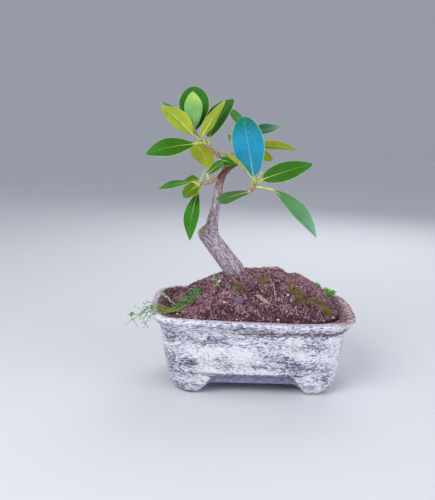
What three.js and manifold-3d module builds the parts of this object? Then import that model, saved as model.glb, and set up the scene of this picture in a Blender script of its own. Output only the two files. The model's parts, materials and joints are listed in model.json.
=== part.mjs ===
// A small ficus bonsai in a hand-made, chalky, footed pot: the tree, its leaves, the mounded soil
// and the small plants that have seeded themselves in it. Millimetres, +Z up, viewed along +Y.
import * as THREE from "three";
import { mergeVertices } from "three/addons/utils/BufferGeometryUtils.js";
import Module from "manifold-3d";

const wasm = await Module();
wasm.setup();

// Driving dimensions
const gap = 0.3; // left between pieces that rest on each other
const pot = {
  halfLength: 79.5, // rim, at the corners
  halfDepth: 53.4,
  height: 65.5,
  corner: 23, // corner radius at the rim
  bow: 5.2, // how far the long sides swell between the corners
  floorTop: 18,
  archLow: 9.2, // underside of the floor, between the feet
  archHigh: 18.6, // top of the carved band in front of the floor
  bandDepth: 5.5,
  rimTilt: 0.021, // the left end of the rim stands a little higher
};
const drain = { radius: 6, spread: 46, screen: 19, screenThick: 1.2, bars: 3, mesh: 4.6 };
const soil = { rim: 63.2, rise: 31.4, apexX: 4, apexY: 4, fullness: 2.4, lean: 0.5, grain: 1.1 };
const blade = { thick: 0.7, rib: 0.55, petiole: 1.0 };

// Helpers
const vec = (p) => new THREE.Vector3(...p);

// A repeatable random draw between 0 and 1.
function seeded(seed) {
  let state = seed;
  return () => {
    state = (state * 1664525 + 1013904223) % 4294967296;
    return state / 4294967296;
  };
}

function solidFrom(geometry) {
  const bare = new THREE.BufferGeometry().setAttribute("position", geometry.getAttribute("position"));
  bare.setIndex(geometry.index);
  const merged = mergeVertices(bare, 1e-3);
  const triVerts = new Uint32Array(merged.index.array);
  const vertProperties = new Float32Array(merged.attributes.position.array);
  const made = new wasm.Manifold(new wasm.Mesh({ numProp: 3, vertProperties, triVerts }));
  if (made.volume() > 0) return made;
  for (let i = 0; i < triVerts.length; i += 3)
    [triVerts[i + 1], triVerts[i + 2]] = [triVerts[i + 2], triVerts[i + 1]];
  return new wasm.Manifold(new wasm.Mesh({ numProp: 3, vertProperties, triVerts }));
}

function geometryFrom(solid) {
  const mesh = solid.getMesh();
  const geometry = new THREE.BufferGeometry();
  geometry.setAttribute("position", new THREE.BufferAttribute(new Float32Array(mesh.vertProperties), 3));
  geometry.setIndex(new THREE.BufferAttribute(new Uint32Array(mesh.triVerts), 1));
  geometry.computeVertexNormals();
  return geometry;
}

// The one body that matters when a cut leaves loose scraps.
const largest = (solid) => solid.decompose().sort((a, b) => b.volume() - a.volume())[0];

const fused = (solids) => solids.reduce((whole, piece) => whole.add(piece));

// Joins rings of equal point count into one closed body, with a fan at each end.
// mirrorFrom: columns from this one on are split the other way, so thin blades match on both faces.
function loft(rings, mirrorFrom = Infinity) {
  const count = rings[0].length;
  const points = rings.flat();
  const faces = [];
  for (let i = 0; i < rings.length - 1; i++)
    for (let j = 0; j < count; j++) {
      const a = i * count + j;
      const b = i * count + ((j + 1) % count);
      const c = b + count;
      const d = a + count;
      if (j < mirrorFrom) faces.push(a, b, d, b, c, d);
      else faces.push(a, b, c, a, c, d);
    }
  for (const [start, flip] of [[0, true], [(rings.length - 1) * count, false]]) {
    const middle = new THREE.Vector3();
    for (let j = 0; j < count; j++) middle.addScaledVector(points[start + j], 1 / count);
    points.push(middle);
    for (let j = 0; j < count; j++) {
      const next = (j + 1) % count;
      if (flip) faces.push(start + next, start + j, points.length - 1);
      else faces.push(start + j, start + next, points.length - 1);
    }
  }
  const geometry = new THREE.BufferGeometry().setFromPoints(points);
  geometry.setIndex(faces);
  return geometry;
}

// A round limb along points [x, y, z, radius], grown by extra all round.
function limb(points, sides, steps, extra = 0, ridges = 0) {
  const curve = new THREE.CatmullRomCurve3(points.map(vec), false, "centripetal");
  const frames = curve.computeFrenetFrames(steps);
  const rings = [];
  for (let i = 0; i <= steps; i++) {
    const share = (i / steps) * (points.length - 1);
    const from = Math.min(Math.floor(share), points.length - 2);
    const radius = THREE.MathUtils.lerp(points[from][3], points[from + 1][3], share - from);
    const centre = curve.getPoint(i / steps);
    if (i === 0) centre.addScaledVector(frames.tangents[0], -extra);
    if (i === steps) centre.addScaledVector(frames.tangents[steps], extra);
    const ring = [];
    for (let j = 0; j < sides; j++) {
      const angle = (j / sides) * 2 * Math.PI;
      const uneven = ridges * (Math.sin(3 * angle + i * 0.7) + Math.cos(5 * angle - i));
      const swell = radius * (1 + uneven) + extra;
      ring.push(
        centre
          .clone()
          .addScaledVector(frames.normals[i], Math.cos(angle) * swell)
          .addScaledVector(frames.binormals[i], Math.sin(angle) * swell),
      );
    }
    rings.push(ring);
  }
  return solidFrom(loft(rings));
}

function box(lengths, centre) {
  return solidFrom(new THREE.BoxGeometry(...lengths).translate(...centre));
}

// Pot

// The pot's plan at a given inset from the rim: a rounded rectangle with swelling, uneven sides.
function potRing(inset, z) {
  const share = z / pot.height;
  const a = pot.halfLength - inset;
  const b = pot.halfDepth - inset * 0.9;
  const radius = pot.corner * (0.66 + 0.34 * share) - inset * 0.15;
  const bow = pot.bow * (0.55 + 0.45 * share);
  const plan = [];
  for (let k = 0; k < 4; k++) {
    const right = k === 0 || k === 3 ? 1 : -1;
    const back = k < 2 ? 1 : -1;
    for (let i = 0; i <= 6; i++) {
      const angle = ((k + i / 6) * Math.PI) / 2;
      const x = right * (a - radius) + radius * Math.cos(angle);
      const y = back * (b - radius) + radius * Math.sin(angle);
      plan.push([x, y]);
    }
    // Points along the straight side that follows this corner.
    const along = k % 2 === 0 ? 8 : 4;
    const [fromX, fromY] = plan.at(-1);
    for (let i = 1; i < along; i++) {
      const t = (2 * i) / along;
      if (k % 2 === 0) plan.push([fromX * (1 - t), fromY]);
      else plan.push([fromX, fromY * (1 - t)]);
    }
  }
  return plan.map(([x, y]) => {
    const wobble = 0.45 * Math.sin(x * 0.07 + z * 0.09) * Math.cos(y * 0.06 - z * 0.05);
    const bowedX = x + (0.7 * bow * (1 - (y / b) ** 2) * x) / a + (wobble * x) / a;
    const bowedY = (y + (bow * (1 - (x / a) ** 2) * y) / b + (wobble * y) / b) * (y > 0 ? 0.96 : 1);
    return new THREE.Vector3(bowedX, bowedY, z * (1 - (pot.rimTilt * x) / pot.halfLength));
  });
}

// Pairs of inset and height, from the foot up the outside, over the lip and down the inside.
const potProfile = [
  [23, 0], [19.5, 0.8], [16.6, 3], [14.6, 6], [13.2, 10], [12.1, 15], [10.8, 22], [9.4, 30], [8.2, 40],
  [7.2, 47], [6.5, 52], [5.4, 55], [3.4, 58], [1.6, 61], [0.2, 63.6], [0.6, 65], [2.2, 65.5], [7, 65.1],
  [11, 64.2], [12.6, 62], [14.4, 54], [18, 38], [22, 24], [26, pot.floorTop],
];

// A prism with a sloped, rounded outline like the carved arches between the feet.
function archPrism(halfFoot, halfTop, top, length) {
  const shape = new THREE.Shape();
  shape.moveTo(-halfFoot - 2, -2);
  shape.lineTo(-halfFoot, 0);
  shape.lineTo(-halfTop - 4, top - 3);
  shape.quadraticCurveTo(-halfTop - 2, top, -halfTop + 4, top);
  shape.lineTo(halfTop - 4, top);
  shape.quadraticCurveTo(halfTop + 2, top, halfTop + 4, top - 3);
  shape.lineTo(halfFoot, 0);
  shape.lineTo(halfFoot + 2, -2);
  const prism = new THREE.ExtrudeGeometry(shape, { depth: length, bevelEnabled: false, curveSegments: 4 });
  return prism.rotateX(Math.PI / 2).translate(0, length / 2, 0);
}

function makePot() {
  let body = solidFrom(loft(potProfile.map(([inset, z]) => potRing(inset, z))));
  const long = 3 * pot.halfLength;
  const underLong = archPrism(42, 33.5, pot.archLow, long);
  const underShort = archPrism(21, 15, pot.archLow, long).rotateZ(Math.PI / 2);
  body = body.subtract(solidFrom(underLong)).subtract(solidFrom(underShort));
  // The carved band above the arches, only as deep as the wall's face.
  const front = pot.halfDepth - 9 - pot.bandDepth + long / 2;
  const end = pot.halfLength - 11 - pot.bandDepth + long / 2;
  for (const side of [-1, 1]) {
    const face = archPrism(42, 31.5, pot.archHigh, long).translate(0, side * front, 0);
    const flank = archPrism(21, 12, pot.archHigh, long).rotateZ(Math.PI / 2).translate(side * end, 0, 0);
    body = body.subtract(solidFrom(face)).subtract(solidFrom(flank));
  }
  for (const side of [-1, 1]) {
    const hole = new THREE.CylinderGeometry(drain.radius, drain.radius, 3 * pot.floorTop, 20);
    body = body.subtract(solidFrom(hole.rotateX(Math.PI / 2).translate((side * drain.spread) / 2, 0, 0)));
  }
  return body;
}

// A square of plastic mesh that keeps the soil in over a drainage hole.
function makeScreen(side) {
  const centreX = (side * drain.spread) / 2;
  const centreZ = pot.floorTop + 2 * gap + drain.screenThick / 2;
  const pitch = drain.screen / drain.bars;
  let plate = box([drain.screen, drain.screen, drain.screenThick], [centreX, 0, centreZ]);
  for (let i = 0; i < drain.bars; i++)
    for (let j = 0; j < drain.bars; j++) {
      const x = (i + 0.5 - drain.bars / 2) * pitch;
      const y = (j + 0.5 - drain.bars / 2) * pitch;
      plate = plate.subtract(box([drain.mesh, drain.mesh, 10], [centreX + x, y, centreZ]));
    }
  return plate;
}

// Soil

const soilEdge = potRing(13, soil.rim);

// Height of the mound at a share of the way from its crown to the edge, without the grains.
// It falls away more steeply at the left, cosine -1, and stays fuller at the right, cosine 1.
const moundAt = (share, cosine) => soil.rim + soil.rise * (1 - share ** (soil.fullness + soil.lean * cosine));

// Height of the mound under any point, for what lies on it.
function moundUnder(x, y) {
  const from = new THREE.Vector2(soil.apexX, soil.apexY);
  const out = new THREE.Vector2(x, y).sub(from);
  const reach = out.length() || 1e-6;
  let share = 1;
  soilEdge.forEach((p, i) => {
    const q = soilEdge[(i + 1) % soilEdge.length];
    const side = new THREE.Vector2(q.x - p.x, q.y - p.y);
    const start = new THREE.Vector2(p.x - from.x, p.y - from.y);
    const cross = out.x * side.y - out.y * side.x;
    const t = (start.x * side.y - start.y * side.x) / cross;
    const u = (start.x * out.y - start.y * out.x) / cross;
    if (t > 0 && u >= 0 && u <= 1) share = Math.min(1, 1 / t);
  });
  return moundAt(share, out.x / reach);
}

function makeSoil(lift = 0) {
  const walls = [[26.5, pot.floorTop + gap], [22.5, 24], [18.5, 38], [14.9, 54], [13.5, soil.rim - 1.4]];
  const rings = walls.map(([inset, z]) => potRing(inset, z));
  const random = seeded(11);
  const apex = new THREE.Vector2(soil.apexX, soil.apexY);
  const shares = [1, 0.92, 0.83, 0.74, 0.65, 0.56, 0.47, 0.38, 0.28, 0.18, 0.07];
  for (const share of shares) {
    const ring = soilEdge.map((p) => {
      const x = apex.x + (p.x - apex.x) * share;
      const y = apex.y + (p.y - apex.y) * share;
      const cosine = (p.x - apex.x) / Math.hypot(p.x - apex.x, p.y - apex.y);
      const grain = soil.grain * (random() - 0.5) * 2 * Math.min(1, 3 * share);
      const lump = 1.2 * Math.sin(x * 0.16 + 1) * Math.cos(y * 0.21) * (1 - share ** 4);
      const settle = share === 1 ? 0.3 * grain : grain;
      return new THREE.Vector3(x, y, moundAt(share, cosine) + lump + settle + lift);
    });
    rings.push(ring);
  }
  return solidFrom(loft(rings));
}

// Wood: points are x, y, z and radius
const wood = {
  trunk: [
    [-6.2, 7, 62, 9.4], [-11.9, 4, 82, 9.3], [-16.7, 2, 94, 8.6], [-25, 1.5, 106, 8.1], [-33.2, 1, 116.6, 7.7],
    [-38.2, 0.2, 123, 7.5], [-41.4, 0, 127, 6.7], [-43.5, 0, 129.6, 4.7],
  ],
  leader: [
    [-31.6, 0.5, 115, 4.5], [-35.4, 0, 126, 5.6], [-35.3, 0, 135, 4.7], [-32.8, 0, 148, 3.9],
    [-31, 0, 160, 3.5], [-29.8, 0, 168.5, 3.6], [-26.8, 0, 175.1, 3.2], [-22.3, 0.4, 179.6, 2.5],
    [-18.5, 0.8, 182.1, 2.1], [-15.2, 1.2, 183.2, 1.6],
  ],
  crownTwig: [
    [-25.2, 0, 174, 2.2], [-27.4, 0, 181, 1.9], [-29.8, -0.5, 187.3, 1.7], [-34.4, -2, 192.4, 1.6],
    [-40.7, -4, 197.2, 1.5], [-47.6, -6, 203, 1.5], [-50.6, -7, 206.8, 1.3],
  ],
  leftTwig: [
    [-30.2, 0, 170, 2.4], [-35.2, -3, 169, 2.0], [-40.2, -6, 167.8, 2.0], [-44.9, -9, 166.8, 1.6],
    [-47.6, -10.5, 166.6, 1.3],
  ],
  backTwig: [
    [-17.8, 1, 181.6, 1.7], [-20.2, 4, 187, 1.5], [-19.6, 6.4, 193, 1.35], [-15.7, 9, 201, 1.3],
    [-11.7, 11.2, 207.6, 1.1],
  ],
  rightTwig: [
    [-30.7, 0, 153.5, 2.2], [-23.2, -3, 155.6, 1.8], [-14.2, -6.5, 158.6, 1.7], [-5.6, -10, 162.2, 1.8],
    [0.7, -12, 169.2, 1.6],
  ],
};
const roots = [
  [[-6.2, 6, 68, 6], [-19.2, -2, 58, 3.4], [-37.2, -8, 46, 1.6]],
  [[-4.2, 6, 68, 6], [8.8, 2, 60, 3.2], [28.8, 8, 44, 1.5]],
  [[-5.2, 8, 68, 5], [-9.2, 18, 58, 2.8], [-17.2, 24, 40, 1.4]],
  [[-5.2, 5, 68, 5], [-1.2, -8, 56, 2.6], [2.8, -20, 38, 1.4]],
];

// Trunk, twigs and roots as one piece of wood, or the room they need when extra is given.
function makeWood(extra = 0) {
  const ridges = 0.035;
  const parts = [
    limb(wood.trunk, 14, 13, extra, ridges),
    limb(wood.leader, 12, 17, extra, ridges),
    ...[wood.crownTwig, wood.leftTwig, wood.backTwig, wood.rightTwig].map((twig) => limb(twig, 8, 8, extra)),
    ...roots.map((root) => limb(root, 5, 4, extra)),
  ];
  return fused(parts);
}

// Leaves

// root is on the twig's own line, neck where the blade starts, up the side that the upper face looks to.
// wide is the full width, arch lifts the middle, fold raises the halves, full says where it is widest.
// blunt rounds the tip, drawn lengthens it and swell fills out the base, each 0 to 1.
const leaves = {
  crown_back: {
    root: [-50, -5.8, 205.9], neck: [-50.6, -3.2, 209.4], tip: [-53, 9, 244],
    up: [0, -1, 0.25], wide: 25.4, arch: -2, fold: 0.16, full: 0.62, blunt: 1,
  },
  crown_front: {
    root: [-50.6, -7.6, 206.4], neck: [-51, -8.6, 210.4], tip: [-53, -6, 239.6],
    up: [0, -1, 0], wide: 14.8, arch: -2, fold: 0.15, full: 0.6, blunt: 0.3,
  },
  crown_left: {
    root: [-46, -6.7, 201.9], neck: [-52.2, -10.8, 206.6], tip: [-76.4, -21, 228],
    up: [0.3, 0.9, 0.4], wide: 16.8, arch: 2, fold: 0.14, full: 0.46, blunt: 0.7, swell: 0.5,
  },
  crown_far_left: {
    root: [-46.6, -5.3, 202.2], neck: [-54.2, -1.4, 207.2], tip: [-79.8, 5, 231.8],
    up: [0.45, -0.35, 0.75], wide: 13, arch: 2, fold: 0.2, full: 0.5,
  },
  crown_low_left: {
    root: [-44, -5, 199.6], neck: [-51.2, -9.4, 198.8], tip: [-89, -19, 190.2],
    up: [-0.1, -0.75, 0.65], wide: 18.6, arch: 2.4, fold: 0.14, full: 0.5,
  },
  crown_hanging: {
    root: [-43.2, -4.4, 199.2], neck: [-50, 2, 200.2], tip: [-36.8, 8, 177],
    up: [0.1, 0.95, 0.33], wide: 19, arch: 1.5, fold: 0.15, full: 0.32, swell: 0.8,
  },
  crown_right_low: {
    root: [-41.8, -4.4, 198], neck: [-44.9, -9.6, 204.6], tip: [-27, -13, 233],
    up: [-0.6, 0.72, 0.49], wide: 13.2, arch: 1.5, fold: 0.14, full: 0.36,
  },
  crown_right_high: {
    root: [-39.6, -3.7, 196.4], neck: [-39.6, 0.6, 203.6], tip: [-20, 8, 234.6],
    up: [-0.62, -0.72, 0.3], wide: 22.4, arch: 2, fold: 0.42, full: 0.5,
  },
  left_long: {
    root: [-47, -10.1, 166.7], neck: [-51.6, -11.6, 168.6], tip: [-80.2, -9, 161.4],
    up: [-0.2, -0.35, 0.9], wide: 12.5, arch: 1.6, fold: 0.14, full: 0.52,
  },
  left_olive_front: {
    root: [-46, -9.6, 166.8], neck: [-47, -14.2, 166.4], tip: [-58.2, -24, 157.6],
    up: [0.2, -0.6, 0.75], wide: 12, arch: 1.8, fold: 0.12, full: 0.55, blunt: 0.8,
  },
  left_olive_back: {
    root: [-44.2, -8.7, 167.2], neck: [-46.6, -5.6, 169], tip: [-58.6, -4, 168.6],
    up: [-0.1, -0.65, 0.75], wide: 10.4, arch: 1, fold: 0.12, full: 0.45, blunt: 0.8,
  },
  left_hanging: {
    root: [-43.2, -7.9, 167.2], neck: [-47.2, -12, 160.4], tip: [-53.2, -16, 121.6],
    up: [-0.5, -0.86, 0.08], wide: 14.4, arch: 3.4, fold: 0.14, full: 0.5,
  },
  inner_front: {
    root: [-37.8, -4.6, 168.4], neck: [-40.2, -7.6, 174.4], tip: [-26.6, -9.4, 185.8],
    up: [-0.45, -0.85, 0.25], wide: 7.8, arch: 1, fold: 0.12, full: 0.66, blunt: 1,
  },
  inner_back: {
    root: [-29, -0.3, 185.4], neck: [-30.6, -4.4, 186.6], tip: [-18, -7, 182.8],
    up: [0.15, -0.85, 0.5], wide: 9.2, arch: 1, fold: 0.12, full: 0.5,
  },
  back_up: {
    root: [-12, 11.1, 207.1], neck: [-8.8, 18.6, 210.8], tip: [-25.4, 18, 227.8],
    up: [0.2, -0.9, 0.3], wide: 8.8, arch: 1.5, fold: 0.14, full: 0.36,
  },
  back_right_high: {
    root: [-13, 10.4, 204.8], neck: [-7.2, 12.8, 205.6], tip: [24.2, 22, 213.6],
    up: [-0.15, -0.5, 0.84], wide: 15.2, arch: 1.6, fold: 0.2, full: 0.45, drawn: 1,
  },
  back_right_mid: {
    root: [-15, 9.4, 202], neck: [-7.2, 11.4, 197.8], tip: [34.4, 14, 194.4],
    up: [0.1, 0.6, 0.8], wide: 13, arch: 2.2, fold: 0.12, full: 0.5,
  },
  back_right_low: {
    root: [-16, 8.8, 200.4], neck: [-10.8, 9.2, 194.8], tip: [13.8, 11, 186],
    up: [0.3, 0.8, 0.5], wide: 12.4, arch: 1, fold: 0.12, full: 0.55, blunt: 1,
  },
  back_left_small: {
    root: [-17.4, 7.9, 197.4], neck: [-19.2, 5, 200.4], tip: [-24, 2, 206.4],
    up: [-0.4, -0.6, 0.5], wide: 4.2, arch: 0.5, fold: 0.12, full: 0.5,
  },
  blue: {
    root: [-1.1, -11.4, 167.4], neck: [-3.2, -13, 174.6], tip: [-12.6, -9.4, 221.4],
    up: [0.05, -0.97, 0.2], wide: 26.2, arch: 1.6, fold: 0.1, full: 0.57, blunt: 1, swell: 0.7,
  },
  right_band: {
    root: [-3.4, -10.7, 164.8], neck: [-4.4, -19, 174], tip: [-35, -21, 195.8],
    up: [0.5, 0.15, 0.85], wide: 8, arch: 3.6, fold: 0.1, full: 0.5,
  },
  right_high: {
    root: [0, -12.2, 168.2], neck: [4.4, -14, 172.2], tip: [44.8, -8, 184.8],
    up: [-0.25, -0.85, 0.45], wide: 17.2, arch: 2.2, fold: 0.14, full: 0.42, swell: 0.8,
  },
  right_drooping: {
    root: [-2, -11.1, 166.2], neck: [13.2, -18, 164.2], tip: [47.8, -28, 128.6],
    up: [0.44, -0.65, 0.61], wide: 17, arch: 3, fold: 0.4, full: 0.5,
  },
  right_inward: {
    root: [-5.4, -10.1, 162.6], neck: [-6.4, -13.5, 162], tip: [-31, -23, 154.6],
    up: [0, -0.6, 0.8], wide: 12.8, arch: 1.2, fold: 0.12, full: 0.74, blunt: 1,
  },
};

// Pointed sheaths of leaves that are still to open: points are x, y, z and radius
const buds = {
  right: [[0.6, -11.4, 170.6, 0.9], [1.9, -11.6, 174, 1.25], [3.4, -12.2, 177, 0.9], [4.4, -12.8, 179, 0.45]],
  left: [
    [-46.1, -10.2, 167.9, 0.7], [-44.6, -9.4, 171.4, 0.9], [-43, -8.6, 175.6, 0.7], [-41.9, -8, 179, 0.4],
  ],
};

// Half-width of a blade at a share of its length, for an outline widest at full.
function outlineAt(t, leaf) {
  const { full, blunt = 0, drawn = 0, swell = 0 } = leaf;
  const side = t < full ? t / full : (1 - t) / (1 - full);
  const rise = Math.sin((Math.PI / 2) * Math.min(1, side));
  const power = t < full ? 0.8 - 0.3 * swell : 0.86 - 0.34 * blunt + 0.7 * drawn;
  return Math.max(0.06, rise ** power);
}

// One leaf: a round petiole that runs into a thin folded blade with a raised rib below it.
function makeLeaf(leaf) {
  const [root, neck, tip] = [leaf.root, leaf.neck, leaf.tip].map(vec);
  const axis = tip.clone().sub(neck).normalize();
  const up = vec(leaf.up);
  up.addScaledVector(axis, -up.dot(axis)).normalize();
  const lifted = (a, b, share, height) => a.clone().lerp(b, share).addScaledVector(up, height);
  const path = new THREE.CatmullRomCurve3(
    [root, lifted(root, neck, 0.55, 0.3), neck, lifted(neck, tip, 0.33, leaf.arch * 0.8),
      lifted(neck, tip, 0.66, leaf.arch * 0.9), tip],
    false,
    "centripetal",
  );
  const stations = [0, 0.9, 1.65, 2.2, 2.8, 3.4, 4, 4.45, 4.8, 5];
  const rings = stations.map((station) => {
    const centre = path.getPoint(station / 5);
    const along = path.getTangent(station / 5);
    const facing = up.clone().addScaledVector(along, -up.dot(along)).normalize();
    const side = new THREE.Vector3().crossVectors(along, facing);
    const t = Math.max(0, (station - 2) / 3);
    const open = THREE.MathUtils.smoothstep(station, 1.55, 2.1);
    const wide = Math.max(blade.petiole, (leaf.wide / 2) * outlineAt(t, leaf));
    const half = THREE.MathUtils.lerp(blade.petiole, wide, open);
    const rib = blade.rib * (1 - 0.85 * t);
    const at = (share, below) => {
      let rise = Math.abs(share) * half * leaf.fold;
      if (below) rise -= blade.thick;
      if (below && share === 0) rise -= rib;
      // On the petiole the ten points close up into a circle.
      const angle = Math.PI * ((1 - share) * 0.4 + 0.1);
      const roundOut = Math.cos(angle) * blade.petiole;
      const roundRise = Math.sin(angle) * blade.petiole * (below ? -1 : 1);
      const out = THREE.MathUtils.lerp(roundOut, share * half, open);
      const lift = THREE.MathUtils.lerp(roundRise, rise, open);
      return centre.clone().addScaledVector(side, out).addScaledVector(facing, lift);
    };
    const shares = [-1, -0.5, 0, 0.5, 1];
    return [...shares.map((s) => at(s, false)), ...shares.reverse().map((s) => at(s, true))];
  });
  return solidFrom(loft(rings, 5));
}

// Small plants in the soil

// A thin pointed blade or stem from a to b.
const needle = (a, b, radius) => limb([[...a, radius], [...b, radius * 0.45]], 3, 1);

const bud = (at, radius, stretch = 1.3) =>
  solidFrom(new THREE.IcosahedronGeometry(radius, 0).scale(1, 1, stretch).translate(...at));

const onMound = (x, y, lift) => [x, y, moundUnder(x, y) + lift];
const onRim = (x, y, lift) => [x, y, pot.height * (1 - (pot.rimTilt * x) / pot.halfLength) + lift];

// The needle-leaved mat left of the trunk: a low core that follows the mound, with blades on it.
const mat = [
  [-38, -14.5, 0, 1.5], [-44, -19.5, 0.3, 2.3], [-52, -24, 0.3, 2.4], [-59, -27, 0.2, 2],
  [-63.4, -28.6, 0.6, 1.3],
];

function makeNeedleMat() {
  const random = seeded(5);
  const ridge = mat.map(([x, y, lift, radius]) => [...onMound(x, y, lift), radius]);
  const parts = [limb(ridge, 6, 7)];
  const blades = 26;
  for (let i = 0; i < blades; i++) {
    const t = ((i + 0.5) / blades) ** 1.35;
    const x = THREE.MathUtils.lerp(-38, -62, t);
    const y = -28 + 15 * ((x + 63) / 25) ** 2 + (random() - 0.5) * 4;
    const from = onMound(x, y, 0.6);
    // Most lie along the mat, those at its upper end fan out.
    const turn = Math.PI + (random() - 0.5) * THREE.MathUtils.lerp(4.6, 2.2, t) + 0.35;
    const length = 6 + 5.5 * random();
    const reach = [x + Math.cos(turn) * length, y + Math.sin(turn) * length * 0.7];
    const above = Math.max(moundUnder(...reach), onRim(...reach, 0)[2], from[2] - 2);
    parts.push(needle(from, [...reach, above + 1.8 + 4.6 * random()], 0.75));
  }
  return fused(parts);
}

// Stems that trail from the mat over the rim, and the small capsules and leaves they carry.
const trailing = [
  { reach: [[-83, -37, 1.2], [-85.4, -38.6, -5], [-87.6, -39, -11.6]], leaf: [-83.6, -40.4, -9.6] },
  { reach: [[-84, -34.6, 1.1], [-87.4, -35.6, -3.4], [-89.2, -36.4, -8]], leaf: [-86, -36.6, -7.6] },
  { reach: [[-84.2, -32.6, 1.2], [-93, -33.4, -4.6], [-102.4, -34, -11.2]], leaf: [-90, -34.4, -6] },
  { reach: [[-84.4, -30.8, 1.5], [-92, -31.4, -2.6], [-100.4, -32, -4.6]], leaf: [-94, -30.6, -8] },
  { reach: [[-84.4, -29.2, 1.6], [-89, -29.8, -1.6], [-92.2, -30.4, -4.8]], leaf: [-95, -28.6, 1.8] },
  { reach: [[-83.6, -27.6, 2], [-86.4, -26.8, 2.2], [-89.8, -26, 1.8]], leaf: [-86, -28.6, 4.8] },
];

function makeTrailingStems() {
  const random = seeded(9);
  const parts = [];
  trailing.forEach(({ reach, leaf }, i) => {
    const aside = (i - 2.5) * 1.6;
    const start = onMound(-55, -25.2 + aside * 0.3, 1.2);
    const rise = onMound(-61, -27.4 + aside * 0.8, 3.4);
    const lying = onRim(-67, -29.6 + aside, 2.2);
    const rim = onRim(-76, -32 + aside, 1.2);
    const out = reach.map(([x, y, lift]) => onRim(x, y, lift));
    const points = [start, rise, lying, rim, ...out].map((p) => [...p, 0.62]);
    parts.push(limb(points, 4, 6), bud(out[2], 1.5), needle(out[0], onRim(...leaf), 0.6));
    for (const from of [rim, out[0]]) {
      const length = 3 + 2.6 * random();
      const turn = Math.PI * (0.6 + 0.8 * random());
      const [x, y, z] = from;
      const to = [x + Math.cos(turn) * length, y + Math.sin(turn) * length * 0.7, z + 0.4 + 2.4 * random()];
      parts.push(needle(from, to, 0.6));
    }
  });
  return fused(parts);
}

// Two thin stalks that stand up beside the trunk, each with a pale capsule.
const stalks = {
  tall: [[-32.4, -19, -3], [-32.6, -19, 3.6], [-33, -18.8, 8.6], [-32.4, -18.8, 12.8]],
  leaning: [[-36.8, -21.4, -3], [-33.8, -21.8, 2.6], [-30.6, -21.8, 5.6], [-28.2, -21.8, 8.2]],
};

function makeStalk(path, extra = 0) {
  const base = moundUnder(path[0][0], path[0][1]);
  const points = path.map(([x, y, lift]) => [x, y, base + lift, 0.6]);
  const stem = limb(points, 6, 6, extra);
  if (extra) return stem;
  const [x, y, z] = points[3];
  const mid = points[2].slice(0, 3);
  return fused([
    stem,
    bud([x, y, z + 0.6], 1.4),
    needle(mid, [mid[0] - 3.2, mid[1] - 0.6, mid[2] + 0.4], 0.6),
    needle(mid, [mid[0] + 3, mid[1] - 0.4, mid[2] + 0.9], 0.6),
  ]);
}

// A bright seedling cushion: a small core covered with rounded leaflets.
function makeCushion(centre, size, count, seed) {
  const random = seeded(seed);
  const [x, y, z] = centre;
  const core = new THREE.SphereGeometry(1, 10, 7).scale(...size.map((s) => s * 0.72));
  const parts = [solidFrom(core.translate(x, y, z))];
  for (let i = 0; i < count; i++) {
    const polar = Math.acos(1 - ((i + 0.5) / count) * 1.05);
    const turn = i * 2.39996 + random() * 0.5;
    const out = new THREE.Vector3().setFromSphericalCoords(1, polar, turn);
    out.set(out.z, out.x, out.y);
    const leaflet = new THREE.OctahedronGeometry(1, 0).scale(0.95, 0.62, 1.9);
    const turned = new THREE.Quaternion().setFromUnitVectors(new THREE.Vector3(0, 0, 1), out);
    leaflet.rotateZ(random() * 3).applyQuaternion(turned);
    leaflet.translate(x + out.x * size[0] * 0.86, y + out.y * size[1] * 0.86, z + out.z * size[2] * 0.86);
    parts.push(solidFrom(leaflet));
  }
  return largest(fused(parts));
}

const cushions = {
  cushion_upper: { at: [57, 19, -0.6], size: [3.6, 3.6, 3.2], count: 11, seed: 3 },
  cushion_lower: { at: [66.4, 21.5, 1.4], size: [7.2, 4.6, 3.8], count: 20, seed: 4 },
};

// Dry litter on the mound: points are x, y, height above the mound and radius
const litter = {
  dry_twig: {
    path: [[8, 4, 1.6, 0.8], [14, 4, 1.5, 1.2], [20, 4, 2.2, 1], [25.6, 4, 4.6, 0.7]],
    sides: 6,
  },
  dry_straw: {
    path: [[12.6, -18, 1, 0.6], [15.4, -24, 1.3, 0.65], [16.6, -31, 1.2, 0.6], [16.6, -37, 1, 0.6]],
    sides: 5,
  },
  bark_chip: {
    path: [[1, -32, 1, 0.8], [3.6, -33.6, 1.4, 1.8], [8, -36, 1.4, 1.7], [12, -38, 1, 0.8]],
    sides: 6,
  },
};

// Assembly
const colours = {
  pot: ["#c9c6cc", 0.9], soil: ["#6b4a47", 0.95], wood: ["#a08d86", 0.85], screen: ["#2d2f2e", 0.6],
  green: ["#3d7a2e", 0.35], deep: ["#2f6326", 0.35], mint: ["#86c46c", 0.4], yellow: ["#a3b038", 0.4],
  blue: ["#2b93b8", 0.3], weed: ["#5fae55", 0.6], bright: ["#5cc93a", 0.6], litter: ["#a98474", 0.9],
};
const leafTone = {
  crown_back: "deep", crown_front: "mint", crown_left: "yellow", crown_far_left: "deep",
  crown_low_left: "deep", crown_hanging: "yellow", crown_right_low: "yellow", left_olive_front: "yellow",
  left_olive_back: "yellow", back_right_mid: "yellow", back_right_low: "yellow", back_left_small: "yellow",
  right_band: "yellow", blue: "blue",
};

const bonsai = new THREE.Group();

function place(name, solid, tone) {
  const [color, roughness] = colours[tone];
  const material = new THREE.MeshStandardMaterial({ color, roughness, metalness: 0 });
  const mesh = new THREE.Mesh(geometryFrom(solid), material);
  mesh.name = name;
  bonsai.add(mesh);
}

const potBody = makePot();
const tree = makeWood();
const treeRoom = makeWood(gap);
const moundRoom = makeSoil(gap);
const screens = { screen_left: makeScreen(-1), screen_right: makeScreen(1) };

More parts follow.
